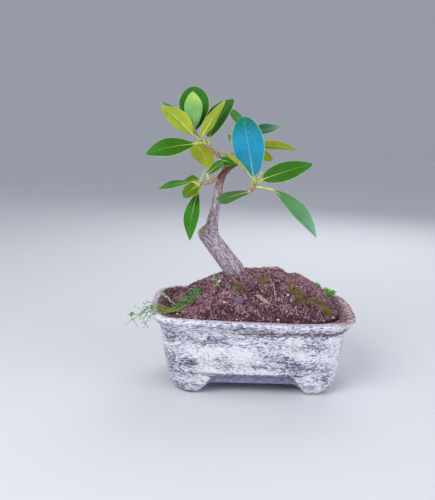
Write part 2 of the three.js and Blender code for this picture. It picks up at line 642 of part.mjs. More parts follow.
// The soil, with plain holes for the trunk, roots, stalks and screens.
let soilBody = makeSoil().subtract(treeRoom);
for (const side of [-1, 1]) {
  const room = drain.screen + 2 * gap;
  const high = drain.screenThick + 6 * gap;
  const centre = [(side * drain.spread) / 2, 0, pot.floorTop + high / 2];
  soilBody = soilBody.subtract(box([room, room, high], centre));
}
for (const stalk of Object.values(stalks)) soilBody = soilBody.subtract(makeStalk(stalk, gap));

place("pot", potBody, "pot");
place("soil", largest(soilBody), "soil");
place("tree_wood", tree, "wood");
for (const [name, solid] of Object.entries(screens)) place(name, solid, "screen");
for (const [name, leaf] of Object.entries(leaves))
  place("leaf_" + name, largest(makeLeaf(leaf).subtract(treeRoom)), leafTone[name] || "green");

for (const [name, points] of Object.entries(buds))
  place("bud_" + name, largest(limb(points, 8, 6).subtract(treeRoom)), "mint");

// The mat and the stems that grow out of it are one plant.
const matBody = makeNeedleMat().add(makeTrailingStems()).subtract(moundRoom);
place("weed_mat_and_stems", largest(matBody), "weed");
for (const [name, stalk] of Object.entries(stalks)) place("weed_stalk_" + name, makeStalk(stalk), "weed");
for (const [name, { at, size, count, seed }] of Object.entries(cushions)) {
  const [x, y, lift] = at;
  const cushion = makeCushion(onMound(x, y, lift), size, count, seed);
  place("weed_" + name, largest(cushion.subtract(moundRoom)), "bright");
}
for (const [name, { path, sides }] of Object.entries(litter)) {
  const points = path.map(([x, y, lift, radius]) => [...onMound(x, y, lift), radius]);
  place(name, largest(limb(points, sides, 6).subtract(moundRoom)), "litter");
}

// The origin is under the middle of everything, at the height the feet stand on.
const bounds = new THREE.Box3().setFromObject(bonsai);
bonsai.position.set(-(bounds.min.x + bounds.max.x) / 2, -(bounds.min.y + bounds.max.y) / 2, 0);

export default bonsai;
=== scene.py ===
# A small ficus bonsai in a chalky footed pot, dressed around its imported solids.
# Lengths in the tables are millimetres, measured from the middle of the pot on the table top.
import json
import math
import random
from contextlib import contextmanager

import bpy
import numpy as np
from mathutils import Matrix, Quaternion, Vector, noise
from mathutils.bvhtree import BVHTree


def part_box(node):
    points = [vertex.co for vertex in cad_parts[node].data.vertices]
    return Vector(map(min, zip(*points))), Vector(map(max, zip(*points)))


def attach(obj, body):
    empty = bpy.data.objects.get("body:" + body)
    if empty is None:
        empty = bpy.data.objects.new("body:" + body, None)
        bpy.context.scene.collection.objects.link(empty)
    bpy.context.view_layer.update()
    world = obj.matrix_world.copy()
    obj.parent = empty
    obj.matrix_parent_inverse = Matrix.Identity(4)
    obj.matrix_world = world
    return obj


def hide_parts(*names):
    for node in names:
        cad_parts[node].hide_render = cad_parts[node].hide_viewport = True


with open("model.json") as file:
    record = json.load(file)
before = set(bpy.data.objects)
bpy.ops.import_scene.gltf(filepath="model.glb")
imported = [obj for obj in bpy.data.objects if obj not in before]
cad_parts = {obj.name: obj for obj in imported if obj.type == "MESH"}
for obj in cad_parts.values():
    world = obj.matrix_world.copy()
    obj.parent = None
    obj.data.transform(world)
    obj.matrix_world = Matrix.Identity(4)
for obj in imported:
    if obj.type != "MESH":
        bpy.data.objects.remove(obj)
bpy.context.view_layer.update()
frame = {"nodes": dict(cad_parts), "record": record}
mm = 0.001

# The two drainage screens lie evenly about the middle of the pot
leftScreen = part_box("screen_left")
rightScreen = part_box("screen_right")
potMiddle = Vector(((leftScreen[0].x + rightScreen[1].x) / 2, (leftScreen[0].y + leftScreen[1].y) / 2, 0))


def place(x, y, z):
    return potMiddle + Vector((x, y, z)) * mm


# Selecting, applying and naming

def selectOnly(*pieces):
    if bpy.context.object and bpy.context.object.mode != "OBJECT":
        bpy.ops.object.mode_set(mode="OBJECT")
    bpy.ops.object.select_all(action="DESELECT")
    for piece in pieces:
        piece.select_set(True)
    if pieces:
        bpy.context.view_layer.objects.active = pieces[0]


def addModifier(piece, kind, **settings):
    modifier = piece.modifiers.new(kind.title(), kind)
    for name, value in settings.items():
        setattr(modifier, name, value)
    return modifier


def applyModifiers(piece):
    selectOnly(piece)
    for modifier in list(piece.modifiers):
        bpy.ops.object.modifier_apply(modifier=modifier.name)


def joinInto(pieces):
    selectOnly(*pieces)
    bpy.ops.object.join()
    return bpy.context.object


def smoothShade(piece, degrees):
    selectOnly(piece)
    bpy.ops.object.shade_smooth_by_angle(angle=math.radians(degrees))


# Edit mode on the active mesh, with all of it selected unless told otherwise
@contextmanager
def editing(action="SELECT"):
    bpy.ops.object.mode_set(mode="EDIT")
    if action != "KEEP":
        bpy.ops.mesh.select_all(action=action)
    yield
    bpy.ops.object.mode_set(mode="OBJECT")


# Selects only the faces whose middle and normal are picked
def selectFaces(piece, picked):
    selectOnly(piece)
    with editing("DESELECT"):
        bpy.ops.mesh.select_mode(type="FACE")
    for face in piece.data.polygons:
        face.select = picked(face.center, face.normal)


def closeNormals(piece):
    selectOnly(piece)
    with editing():
        bpy.ops.mesh.normals_make_consistent(inside=False)


def linkNew(name, data):
    piece = bpy.data.objects.new(name, data)
    bpy.context.scene.collection.objects.link(piece)
    return piece


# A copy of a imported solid, remade as an even mesh with points grid mm apart, to be worked over
def copyOfNode(node, name, grid, rounds):
    piece = linkNew(name, frame["nodes"][node].data.copy())
    piece.data.materials.clear()
    selectOnly(piece)
    with editing():
        bpy.ops.mesh.remove_doubles(threshold=0.00001)
        bpy.ops.mesh.normals_make_consistent(inside=False)
    addModifier(piece, "REMESH", mode="VOXEL", voxel_size=grid * mm)
    addModifier(piece, "SMOOTH", factor=0.5, iterations=rounds)
    applyModifiers(piece)
    return piece


# Smooths a finished piece, gives it a material where it has none yet, names it and seats it in the frame
def settle(piece, degrees, material, name, slot, *nodes):
    smoothShade(piece, degrees)
    if material:
        piece.data.materials.append(material)
    bpy.ops.object.transform_apply(location=True, rotation=True, scale=True)
    piece.name = name
    piece.data.name = name
    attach(piece, "root")
    if nodes:
        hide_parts(*nodes)
    return piece


# The record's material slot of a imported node
def frameSlot(node):
    for part in frame["record"]["subparts"]:
        if part.get("node") == node or part.get("name") == node:
            return part["material_slot"]
    return frame["record"]["materials"][0]["slot"]


# Moves every vertex along its normal by heightAt(place in mm, normal) millimetres
def roughen(piece, heightAt):
    mesh = piece.data
    normals = [entry.vector.copy() for entry in mesh.vertex_normals]
    for vertex, normal in zip(mesh.vertices, normals):
        local = (vertex.co - potMiddle) / mm
        vertex.co += normal * heightAt(local, normal) * mm


# Keeps lists of values on the points of a mesh, under their names
def keepValues(piece, **lists):
    for name, values in lists.items():
        attribute = piece.data.attributes.new(name, "FLOAT", "POINT")
        attribute.data.foreach_set("value", np.asarray(values, dtype=np.float32))


def keepTone(piece, tone):
    keepValues(piece, tone=[tone] * len(piece.data.vertices))


# 0 below low, 1 above high and a soft rise between them
def step(value, low, high):
    t = min(1.0, max(0.0, (value - low) / (high - low)))
    return t * t * (3 - 2 * t)


def blend(first, second, share):
    return first + (second - first) * share


def grain(x, y, z):
    return noise.noise(Vector((x, y, z)))


# A smooth path through points, share 0 to 1 spread evenly over its stretches
def pathPoint(points, share):
    last = len(points) - 1
    spot = min(max(share, 0.0), 1.0) * last
    start = min(int(spot), last - 1)
    local = spot - start
    before = points[start - 1] if start > 0 else 2 * points[0] - points[1]
    after = points[start + 2] if start + 2 <= last else 2 * points[last] - points[last - 1]
    first, second = points[start], points[start + 1]
    stretches = ((before, first), (first, second), (second, after))
    d0, d1, d2 = [max((b - a).length, 1e-6) ** 0.5 for a, b in stretches]
    out = ((first - before) / d0 - (second - before) / (d0 + d1) + (second - first) / d1) * d1
    back = ((second - first) / d1 - (after - first) / (d1 + d2) + (after - second) / d2) * d1
    bend = -3 * first + 3 * second - 2 * out - back
    twist = 2 * first - 2 * second + out + back
    return first + out * local + bend * local**2 + twist * local**3


def pathHeading(points, share):
    ahead = pathPoint(points, min(1.0, share + 0.002))
    behind = pathPoint(points, max(0.0, share - 0.002))
    return (ahead - behind).normalized()


# Places in metres along a path in mm, at steps first to last of count
def placesAlong(path, count, first=0, last=None):
    steps = range(first, (count if last is None else last) + 1)
    return [place(*pathPoint(path, i / count)) for i in steps]


# The radius at a share of a path whose points are x, y, z and radius
def radiusAt(points, share):
    spot = share * (len(points) - 1)
    start = min(int(spot), len(points) - 2)
    return blend(points[start][3], points[start + 1][3], spot - start)


# Closed round rods along paths: each strand is a list of places in metres and one of radii in mm
def makeRods(name, strands, roundness=1):
    curve = bpy.data.curves.new(name, "CURVE")
    curve.dimensions = "3D"
    curve.bevel_depth = mm
    curve.bevel_resolution = roundness
    curve.use_fill_caps = True
    for points, radii in strands:
        spline = curve.splines.new("POLY")
        spline.points.add(len(points) - 1)
        for target, point, radius in zip(spline.points, points, radii):
            target.co = (*point, 1)
            target.radius = radius
    selectOnly(linkNew(name, curve))
    bpy.ops.object.convert(target="MESH")
    piece = bpy.context.object
    closeNormals(piece)
    return piece


# One mesh from many turned and scaled copies of a few modelled shapes, each copy with its own tone
def fuseCopies(name, shapes, spots):
    corners = []
    for shape in shapes:
        points = np.array([vertex.co for vertex in shape.data.vertices])
        faces = [list(face.vertices) for face in shape.data.polygons]
        corners.append((points, faces))
    allPoints, allFaces, tones = [], [], []
    used = 0
    for index, (matrix, tone) in enumerate(spots):
        points, faces = corners[index % len(corners)]
        turn = np.array(matrix.to_3x3())
        allPoints.append(points @ turn.T + np.array(matrix.translation))
        allFaces.extend([corner + used for corner in face] for face in faces)
        tones.extend([tone] * len(points))
        used += len(points)
    mesh = bpy.data.meshes.new(name)
    mesh.from_pydata(np.concatenate(allPoints).tolist(), [], allFaces)
    piece = linkNew(name, mesh)
    keepValues(piece, tone=tones)
    for shape in shapes:
        bpy.data.objects.remove(shape)
    return piece


def standOn(point, normal, size, spin, sink=0.0):
    turn = normal.to_track_quat("Z", "Y") @ Quaternion((0, 0, 1), spin)
    seat = point + normal * (-sink * mm)
    return Matrix.LocRotScale(seat, turn, Vector(size) * mm)


# Materials

def paint(code):
    channels = [int(code[i : i + 2], 16) / 255 for i in (1, 3, 5)]
    return (*[c / 12.92 if c <= 0.04045 else ((c + 0.055) / 1.055) ** 2.4 for c in channels], 1)


# A shader node with its settings; an input takes a value or is linked from another socket
def addNode(tree, kind, inputs=None, **settings):
    node = tree.nodes.new("ShaderNode" + kind)
    for name, value in settings.items():
        setattr(node, name, value)
    for name, value in (inputs or {}).items():
        if isinstance(value, bpy.types.NodeSocket):
            tree.links.new(value, node.inputs[name])
        else:
            node.inputs[name].default_value = value
    return node


def newMaterial(name, **shine):
    material = bpy.data.materials.new(name)
    material.use_nodes = True
    shader = material.node_tree.nodes["Principled BSDF"]
    for socket, value in shine.items():
        shader.inputs[socket.replace("_", " ")].default_value = value
    return material, material.node_tree, shader


def objectPlace(tree, stretch=(1, 1, 1)):
    place3d = addNode(tree, "TexCoord").outputs["Object"]
    return addNode(tree, "Mapping", {"Vector": place3d, "Scale": stretch}).outputs[0]


def meshValue(tree, name, output="Fac"):
    return addNode(tree, "Attribute", attribute_name=name).outputs[output]


def mixColour(tree, factor, first, second, blendType="MIX"):
    inputs = {0: factor, 6: first, 7: second}
    return addNode(tree, "Mix", inputs, data_type="RGBA", blend_type=blendType).outputs[2]


def calc(tree, operation, first, second=0.0):
    return addNode(tree, "Math", {0: first, 1: second}, operation=operation).outputs[0]


def fade(tree, value, low, high):
    inputs = {"Value": value, "From Min": low, "From Max": high}
    return addNode(tree, "MapRange", inputs, interpolation_type="SMOOTHSTEP").outputs[0]


def noiseValue(tree, vector, scale, detail=4.0, roughness=0.6, distortion=0.0):
    inputs = {"Vector": vector, "Scale": scale, "Detail": detail, "Roughness": roughness}
    return addNode(tree, "TexNoise", {**inputs, "Distortion": distortion}).outputs[0]


def colourRamp(tree, value, stops):
    node = addNode(tree, "ValToRGB", {0: value})
    ramp = node.color_ramp
    while len(ramp.elements) < len(stops):
        ramp.elements.new(0.5)
    for element, (position, code) in zip(ramp.elements, stops):
        element.position = position
        element.color = paint(code)
    return node.outputs[0]


# Joins a colour and a relief to a shader; the relief's distance is in mm
def dress(tree, shader, colour, height, strength, distance):
    tree.links.new(colour, shader.inputs["Base Color"])
    inputs = {"Height": height, "Strength": strength, "Distance": distance * mm}
    tree.links.new(addNode(tree, "Bump", inputs).outputs[0], shader.inputs["Normal"])


def newGroup(name, inputs, outputs):
    group = bpy.data.node_groups.new(name, "ShaderNodeTree")
    for label, kind, value in inputs:
        socket = group.interface.new_socket(name=label, in_out="INPUT", socket_type="NodeSocket" + kind)
        if value is not None:
            socket.default_value = value
    for label, kind in outputs:
        group.interface.new_socket(name=label, in_out="OUTPUT", socket_type="NodeSocket" + kind)
    start = group.nodes.new("NodeGroupInput")
    end = group.nodes.new("NodeGroupOutput")
    return group, start.outputs, end.inputs


def useGroup(tree, group, inputs):
    return addNode(tree, "Group", inputs, node_tree=group).outputs


# The material of many small pieces: one noise gives both the colour and the bump
def plainMaterial(name, roughness, scale, stops, bump, grit=(4.0, 0.6), stretch=(1, 1, 1), **shine):
    material, tree, shader = newMaterial(name, Roughness=roughness, **shine)
    rough = noiseValue(tree, objectPlace(tree, stretch), scale, *grit)
    dress(tree, shader, colourRamp(tree, rough, stops), rough, *bump)
    return material


# A value plus or minus a share of a noise
def vary(tree, value, rough, share):
    spread = calc(tree, "MULTIPLY", calc(tree, "SUBTRACT", rough, 0.5), share)
    return calc(tree, "ADD", value, spread)


# One colour over another where a mask is strong, up to a share
def coat(tree, mask, share, under, over):
    return mixColour(tree, calc(tree, "MULTIPLY", mask, share), under, over)


# Small dots scattered over a surface, such as pits, specks and pores
def makeSpeckGroup():
    group, start, end = newGroup(
        "scatteredSpecks",
        [
            ("Vector", "Vector", None), ("Scale", "Float", 900.0),
            ("Amount", "Float", 0.3), ("Softness", "Float", 0.08),
        ],
        [("Mask", "Float")],
    )
    rough = noiseValue(group, start["Vector"], start["Scale"], 2.0, 0.5)
    level = calc(group, "SUBTRACT", 0.78, calc(group, "MULTIPLY", start["Amount"], 0.3))
    over = calc(group, "SUBTRACT", rough, level)
    sharp = addNode(group, "Math", {0: over, 1: start["Softness"]}, operation="DIVIDE", use_clamp=True)
    group.links.new(sharp.outputs[0], end["Mask"])
    return group


# Uneven patches with ragged edges, used where one colour shows through another
def makePatchGroup():
    group, start, end = newGroup(
        "raggedPatches",
        [
            ("Vector", "Vector", None), ("Scale", "Float", 60.0),
            ("Share", "Float", 0.5), ("Edge", "Float", 0.12),
        ],
        [("Mask", "Float")],
    )
    broad = noiseValue(group, start["Vector"], start["Scale"], 6.0, 0.68, 0.4)
    level = calc(group, "SUBTRACT", 1.0, start["Share"])
    low = calc(group, "SUBTRACT", level, start["Edge"])
    high = calc(group, "ADD", level, start["Edge"])
    group.links.new(fade(group, broad, low, high), end["Mask"])
    return group


# The colour of a leaf's face: a drift from base to tip, a pale rib and rim, faint side veins
def makeLeafGroup():
    group, start, end = newGroup(
        "leafMarks",
        [
            ("Vector", "Vector", None), ("Along", "Float", 0.5), ("From Rib", "Float", 3.0),
            ("From Rim", "Float", 3.0), ("Base", "Color", None), ("Middle", "Color", None),
            ("Tip", "Color", None), ("Rib", "Color", None), ("Rim", "Color", None),
            ("Rib Width", "Float", 0.26), ("Veins", "Float", 0.055), ("Mottle", "Float", 0.5),
            ("Base End", "Float", 0.45), ("Tip Start", "Float", 0.5),
        ],
        [("Color", "Color"), ("Height", "Float")],
    )
    along = start["Along"]
    lower = mixColour(group, fade(group, along, 0.02, start["Base End"]), start["Base"], start["Middle"])
    colour = mixColour(group, fade(group, along, start["Tip Start"], 0.98), lower, start["Tip"])
    mottle = noiseValue(group, start["Vector"], 110.0, 5.0, 0.6, 0.6)
    shade = mixColour(group, fade(group, mottle, 0.35, 0.7), (0.42, 0.42, 0.42, 1), (0.62, 0.62, 0.6, 1))
    colour = mixColour(group, start["Mottle"], colour, mixColour(group, 1.0, colour, shade, "OVERLAY"))
    # Side veins leave the rib at a slant and fade before the rim
    drift = calc(group, "MULTIPLY", mottle, 0.9)
    slant = calc(group, "ADD", calc(group, "MULTIPLY", start["From Rib"], 0.16), drift)
    phase = calc(group, "SUBTRACT", calc(group, "MULTIPLY", along, 13.0), slant)
    wave = calc(group, "COSINE", calc(group, "MULTIPLY", phase, 2 * math.pi))
    vein = calc(group, "MULTIPLY", fade(group, wave, 0.8, 1.0), fade(group, start["From Rim"], 0.3, 2.0))
    colour = mixColour(group, calc(group, "MULTIPLY", vein, start["Veins"]), colour, start["Rib"])
    narrowing = calc(group, "SUBTRACT", 1.25, along)
    width = calc(group, "MULTIPLY", start["Rib Width"], narrowing)
    rib = fade(group, calc(group, "DIVIDE", start["From Rib"], width), 1.4, 0.6)
    colour = mixColour(group, calc(group, "MULTIPLY", rib, 0.62), colour, start["Rib"])
    rim = fade(group, start["From Rim"], 0.42, 0.08)
    colour = mixColour(group, calc(group, "MULTIPLY", rim, 0.55), colour, start["Rim"])
    group.links.new(colour, end["Color"])
    relief = calc(group, "ADD", calc(group, "MULTIPLY", vein, -0.5), calc(group, "MULTIPLY", mottle, 0.6))
    group.links.new(relief, end["Height"])
    return group


specks = makeSpeckGroup()
patches = makePatchGroup()
leafMarks = makeLeafGroup()


def speckMask(tree, vector, scale, amount, softness):
    inputs = {"Vector": vector, "Scale": scale, "Amount": amount, "Softness": softness}
    return useGroup(tree, specks, inputs)["Mask"]


def patchMask(tree, vector, scale, share, edge):
    inputs = {"Vector": vector, "Scale": scale, "Share": share, "Edge": edge}
    return useGroup(tree, patches, inputs)["Mask"]


# Camera, floor and light, set up as the object was seen

view = {"target": (-30.4, 0, 111), "distance": 600, "elevation": 11.8, "roll": 1.35, "lens": 51.84}


def makeCamera():
    camera = linkNew("viewCamera", bpy.data.cameras.new("viewCamera"))
    camera.data.lens = view["lens"]
    camera.data.sensor_width = 36
    tilt = math.radians(view["elevation"])
    target = place(*view["target"])
    camera.location = target + Vector((0, -math.cos(tilt), math.sin(tilt))) * view["distance"] * mm
    aim = (target - camera.location).to_track_quat("-Z", "Y")
    camera.rotation_mode = "QUATERNION"
    camera.rotation_quaternion = aim @ Quaternion((0, 0, 1), math.radians(view["roll"]))
    camera.data.clip_start = 0.02
    camera.data.clip_end = 50
    bpy.context.scene.camera = camera


studio = {
    "floor": "#dcdde1",
    # Radius and height of the floor's rising edge, in metres
    "bowl": [(1.7, 0.0), (2.1, 0.05), (2.4, 0.2), (2.6, 0.5), (2.68, 0.9), (2.7, 1.4)],
    "sky": (0.86, 0.90, 1.0),
    "skyStrength": 0.52,
    "lights": [
        {"name": "keyLight", "at": (-420, -600, 640), "size": 0.6, "watts": 5.2, "tint": (1.0, 0.985, 0.96)},
        {"name": "fillLight", "at": (640, -460, 300), "size": 0.7, "watts": 2.4, "tint": (0.92, 0.95, 1.0)},
        {"name": "backLight", "at": (200, 620, 560), "size": 0.7, "watts": 2.4, "tint": (0.96, 0.98, 1.0)},
    ],
}


# The floor runs up into a round backdrop, so that no edge shows from any side
def makeStudio():
    inner = studio["bowl"][0][0]
    bpy.ops.mesh.primitive_circle_add(vertices=96, radius=inner, fill_type="NGON", location=(0, 0, 0))
    floor = bpy.context.object
    floor.name = "studioFloor"
    with editing():
        bpy.ops.mesh.select_mode(type="EDGE")
        bpy.ops.mesh.region_to_loop()
        for (radius, height), (nextRadius, nextHeight) in zip(studio["bowl"], studio["bowl"][1:]):
            bpy.ops.mesh.extrude_edges_move(TRANSFORM_OT_translate={"value": (0, 0, nextHeight - height)})
            wider = nextRadius / radius
            bpy.ops.transform.resize(value=(wider, wider, 1), center_override=(0, 0, nextHeight))
    smoothShade(floor, 60)
    plain = {"Base_Color": paint(studio["floor"]), "Roughness": 0.9, "Specular_IOR_Level": 0.1}
    floor.data.materials.append(newMaterial("studioFloor", **plain)[0])
    world = bpy.data.worlds.new("softSky")
    bpy.context.scene.world = world
    world.use_nodes = True
    backdrop = world.node_tree.nodes["Background"]
    backdrop.inputs["Color"].default_value = (*studio["sky"], 1)
    backdrop.inputs["Strength"].default_value = studio["skyStrength"]
    for lamp in studio["lights"]:
        data = bpy.data.lights.new(lamp["name"], "AREA")
        data.shape = "DISK"
        data.size = lamp["size"]
        data.energy = lamp["watts"]
        data.color = lamp["tint"]
        light = linkNew(lamp["name"], data)
        light.location = place(*lamp["at"])
        light.rotation_mode = "QUATERNION"
        light.rotation_quaternion = (place(0, 0, 110) - light.location).to_track_quat("-Z", "Y")
    bpy.context.scene.view_settings.view_transform = "Standard"


makeCamera()
makeStudio()
print("stage: camera, floor and light")


# Pot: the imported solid's form with the hand-brushed relief of chalky clay

potForm = {
    "halfLength": 79.5,  # mm from the middle to the lip's ends
    "halfDepth": 53.4,
    "corner": 23,  # radius of the lip's corners
    "height": 65.5,  # of the lip at its middle
    "tilt": 0.021,  # rise of the lip towards the left, as a share of its height
    "undercut": 56,  # height of the ragged line below the lip
    "lipTop": 65,
    "hiddenFrom": (19.5, 59),  # heights between which soil hides the inner wall
    "hiddenEnds": (24, 11),  # how far it lies in from the lip's ends, at the ground and at the top
    "hiddenSides": (22, 10),
}
potLook = {
    "grid": 0.85,  # mm between points of the worked surface
    "rounds": 16,
    "strokes": 0.3,  # height of the short brush ridges
    "fine": 0.17,
    "broad": 0.3,
    "pits": 1.5,
    "flare": (0.03, 0.019),  # how far the lip leans out past the wall, at the left end and the right
    "slant": 0.085,  # how far the sides of the long arches slant, as a share of their place
    "white": "#f5f5fa",
    "chalk": "#cfcde0",
    "wash": "#9391ac",
    "clay": "#524d63",
    "pit": "#4a4452",
    "lip": "#c3b4c0",
    "lipDark": "#9a8b9c",
    "stain": "#a8888c",
    "stainDark": "#6f5258",
    "dust": "#74545a",
    "dustDark": "#402a30",
    # Painted shade for the recessed band below the arches
    "recessShade": "#6d6a90",
    # Dark earth for the undercut below the lip, partly dirt and partly painted shade
    "grooveDirtAndShade": "#57484f",
}


# Ridges of the brush, slanting round the corners, with broad unevenness under them
def potRelief(local):
    x, y, z = local
    around = x + y
    slant = z + 0.45 * max(0.0, abs(x) - 50) + 1.4 * grain(x * 0.09, y * 0.09, z * 0.09)
    strokes = grain(around * 0.19, 3.1, slant * 0.6)
    fine = grain(around * 0.42, 8.7, slant * 1.05)
    broad = grain(x * 0.045, y * 0.045, z * 0.11)
    return strokes, fine, broad


def potHeight(local, normal):
    x, y, z = local
    flat = step(abs(normal.z), 0.6, 0.95)
    strokes, fine, broad = potRelief(local)
    tooth = 0.2 * grain(x * 0.5, y * 0.5, z * 0.5) * flat
    pit = max(0.0, grain(x * 0.3, y * 0.3, z * 0.45 + 70) - 0.44)
    height = potLook["strokes"] * strokes + potLook["fine"] * fine
    height = height * (1 - 0.7 * flat) + potLook["broad"] * broad + tooth - potLook["pits"] * pit
    return height - 0.5 * grooveShare(local) * (1 - flat)


# The height a point would have if the lip stood level
def levelled(x, z, height):
    return z + potForm["tilt"] * x / potForm["halfLength"] * height


# The ragged undercut below the lip, deepest along the right half of the front; it is dented into the clay
# and coloured dark with dirt and painted shade
def grooveShare(local):
    x, y, z = local
    level = levelled(x, z, potForm["undercut"])
    line = 55.2 + 1.3 * grain(x * 0.045, y * 0.045, 3) + 0.5 * grain(x * 0.2, y * 0.2, 6)
    share = math.exp(-(((level - line) / 1.2) ** 2))
    return share * (0.25 + 0.75 * step(x + 8 * grain(y * 0.1, x * 0.05, 20), -34, -8))


def makePotMaterial():
    material, tree, shader = newMaterial("chalkClay", Roughness=0.88, Specular_IOR_Level=0.2)
    look = potLook
    # White clings to the ridges, the clay shows in short strokes, thick where the wash is worn
    fine = noiseValue(tree, objectPlace(tree, (0.8, 0.8, 3.3)), 460.0, 5.0, 0.64, 0.8)
    broad = noiseValue(tree, objectPlace(tree, (1, 1, 1.8)), 48.0, 3.0, 0.6, 0.4)
    level = vary(tree, fine, broad, 0.34)
    level = calc(tree, "ADD", level, calc(tree, "MULTIPLY", meshValue(tree, "ridge"), 0.07))
    level = calc(tree, "SUBTRACT", level, calc(tree, "MULTIPLY", meshValue(tree, "worn"), 0.11))
    stops = [(0.355, look["clay"]), (0.42, look["wash"]), (0.468, look["chalk"]), (0.535, look["white"])]
    colour = colourRamp(tree, level, stops)
    pits = speckMask(tree, objectPlace(tree, (1, 1, 1.7)), 420.0, 0.42, 0.05)
    colour = coat(tree, pits, 0.75, colour, paint(look["pit"]))
    smear = patchMask(tree, objectPlace(tree), 90.0, 0.72, 0.14)
    lip = colourRamp(tree, fine, [(0.4, look["lipDark"]), (0.5, look["lip"]), (0.58, look["chalk"])])
    colour = coat(tree, meshValue(tree, "lip"), smear, colour, lip)
    stain = colourRamp(tree, fine, [(0.42, look["stainDark"]), (0.5, look["stain"]), (0.58, "#cdbac3")])
    colour = coat(tree, meshValue(tree, "stain"), smear, colour, stain)
    soiled = colourRamp(tree, fine, [(0.4, look["dustDark"]), (0.52, look["dust"]), (0.62, "#a3898f")])
    colour = coat(tree, meshValue(tree, "dust"), 0.92, colour, soiled)
    # Painted shade: the recessed band below the long arches and the ends is coloured dark blue-lavender,
    # flecked paler
    inner = mixColour(tree, fade(tree, fine, 0.4, 0.6), paint(look["recessShade"]), paint("#a3a1c0"))
    colour = coat(tree, meshValue(tree, "recessShade"), 0.9, colour, inner)
    # Painted shade with dirt: a ragged dark earth colour in the undercut below the lip, under the lip's
    # flare and along the tops of the long arches
    ragged = calc(tree, "MULTIPLY", calc(tree, "SUBTRACT", fine, 0.5), 3.2)
    torn = fade(tree, calc(tree, "SUBTRACT", meshValue(tree, "grooveDirtAndShade"), ragged), 0.3, 0.8)
    dirtAndShade = mixColour(tree, fade(tree, broad, 0.42, 0.6), paint(look["grooveDirtAndShade"]), paint("#6b6078"))
    colour = mixColour(tree, torn, colour, dirtAndShade)
    dress(tree, shader, colour, level, 0.9, 0.8)
    return material


# Where the wash is worn on the front: x, z, half width, half height, strength
potWear = [
    (-32, 47, 15, 4.5, 1.0), (-66, 40, 7, 14, 0.75), (-49, 30, 9, 4, 0.8), (-52, 19, 12, 5, 0.8),
    (-58, 8, 9, 4, 0.6), (2, 27, 7, 3, 1.0), (27, 26, 22, 6, 0.75), (50, 45, 9, 4, 0.25),
    (8, 46, 30, 3.5, 0.45), (58, 20, 9, 9, 0.6), (66, 6, 6, 6, 0.5), (-34, 40, 26, 5, -0.75),
    (-6, 34, 13, 10, -0.7), (66, 34, 7, 13, -0.5), (40, 38, 12, 3, -0.2), (-20, 22.5, 40, 2, -0.5),
    (-78, 30, 6, 16, 0.9), (-72, 50, 10, 4, 0.7), (22, 34, 12, 3, 0.6), (-16, 51, 18, 3, 0.5),
    (44, 30, 12, 3, 0.5),
]


# How far a point lies inside the rim's outer edge, in mm
def rimInset(x, y):
    flatX = x / (1.024 + 0.046 * (1 - min(1.0, (y / potForm["halfDepth"]) ** 2)))
    bowed = 1 + 0.097 * (1 - min(1.0, (x / potForm["halfLength"]) ** 2))
    flatY = y / (bowed * (0.96 if y > 0 else 1))
    corner = potForm["corner"]
    overX = abs(flatX) - (potForm["halfLength"] - corner)
    overY = abs(flatY) - (potForm["halfDepth"] - corner)
    if overX > 0 and overY > 0:
        return corner - math.hypot(overX, overY)
    return corner - max(overX, overY)


# How much of each finish a point of the pot takes
def potMasks(piece):
    masks = {"ridge": [], "worn": [], "lip": [], "stain": [], "dust": [], "recessShade": [], "grooveDirtAndShade": []}
    for vertex in piece.data.vertices:
        local = (vertex.co - potMiddle) / mm
        x, y, z = local
        level = levelled(x, z, potForm["lipTop"])
        up = vertex.normal.z
        strokes, fine, broad = potRelief(local)
        masks["ridge"].append(strokes + 0.6 * fine + 0.4 * broad)
        seen = sum(
            strength * math.exp(-(((x - px) / wide) ** 2) - ((z - pz) / high) ** 2)
            for px, pz, wide, high, strength in potWear
        )
        hidden = 1.1 * grain(x * 0.032, y * 0.032, z * 0.07 + 5)
        worn = blend(hidden, seen, step(-y, 26, 44)) + 0.35 * step(level, 57, 60) * step(62.5 - level, 0, 2)
        masks["worn"].append(worn)
        # Soil has stained the inner edge of the lip and the wall above the mound
        dustFrom = 9.2 - 5.4 * step(-x, 46, 64) - 3.4 * step(x, 52, 68)
        dustFrom += 1.5 * grain(x * 0.12, y * 0.12, 60)
        dust = step(rimInset(x, y), dustFrom, dustFrom + 2.6)
        inward = -(vertex.normal.x * x / potForm["halfLength"] + vertex.normal.y * y / potForm["halfDepth"])
        masks["dust"].append(dust * step(z, 50, 56) * step(max(up, inward), 0.15, 0.55))
        brushed = 1 - 0.65 * step(-x, 6, 40) * step(-y, 20, 40)
        masks["lip"].append(brushed * step(level, 61, 63.5) * step(up, 0.7, 0.96))
        masks["stain"].append(step(x, 54, 76) * step(level, 58, 63) * (0.1 + 0.9 * step(up, 0.1, 0.7)))
        # Painted shade in the recessed band below the long arches and below the ends
        front = step(-abs(y) + 0.02 * abs(x), -43.2, -41.6) * step(50 - abs(x), 0, 4)
        end = step(-abs(x), -69.5, -67.5) * step(30 - abs(y), 0, 4) * step(abs(x), 40, 44)
        masks["recessShade"].append(max(front, end) * step(-z, -19.6, -18.4) * step(z, 6.5, 8.5))
        # Painted shade: a dark line along the tops of the long arches, and a dark band under the lip's flare
        # that is partly dirt and partly painted shade
        arch = math.exp(-(((z - 19.4) / 0.9) ** 2)) * step(44 - abs(x), 0, 5) * step(abs(y), 38, 42)
        drift = 0.9 * grain(x * 0.06, y * 0.06, 40)
        flareDirtAndShade = math.exp(-(((level - 56.9 - drift) / 2.9) ** 2))
        flareDirtAndShade *= 0.34 + 0.58 * step(x, -20, 12) + 0.08 * step(x, 30, 60)
        torn = max(0.8 * grooveShare(local), 0.85 * flareDirtAndShade, 0.8 * arch)
        masks["grooveDirtAndShade"].append(torn * (1 - step(abs(up), 0.8, 0.97)))
    keepValues(piece, **masks)


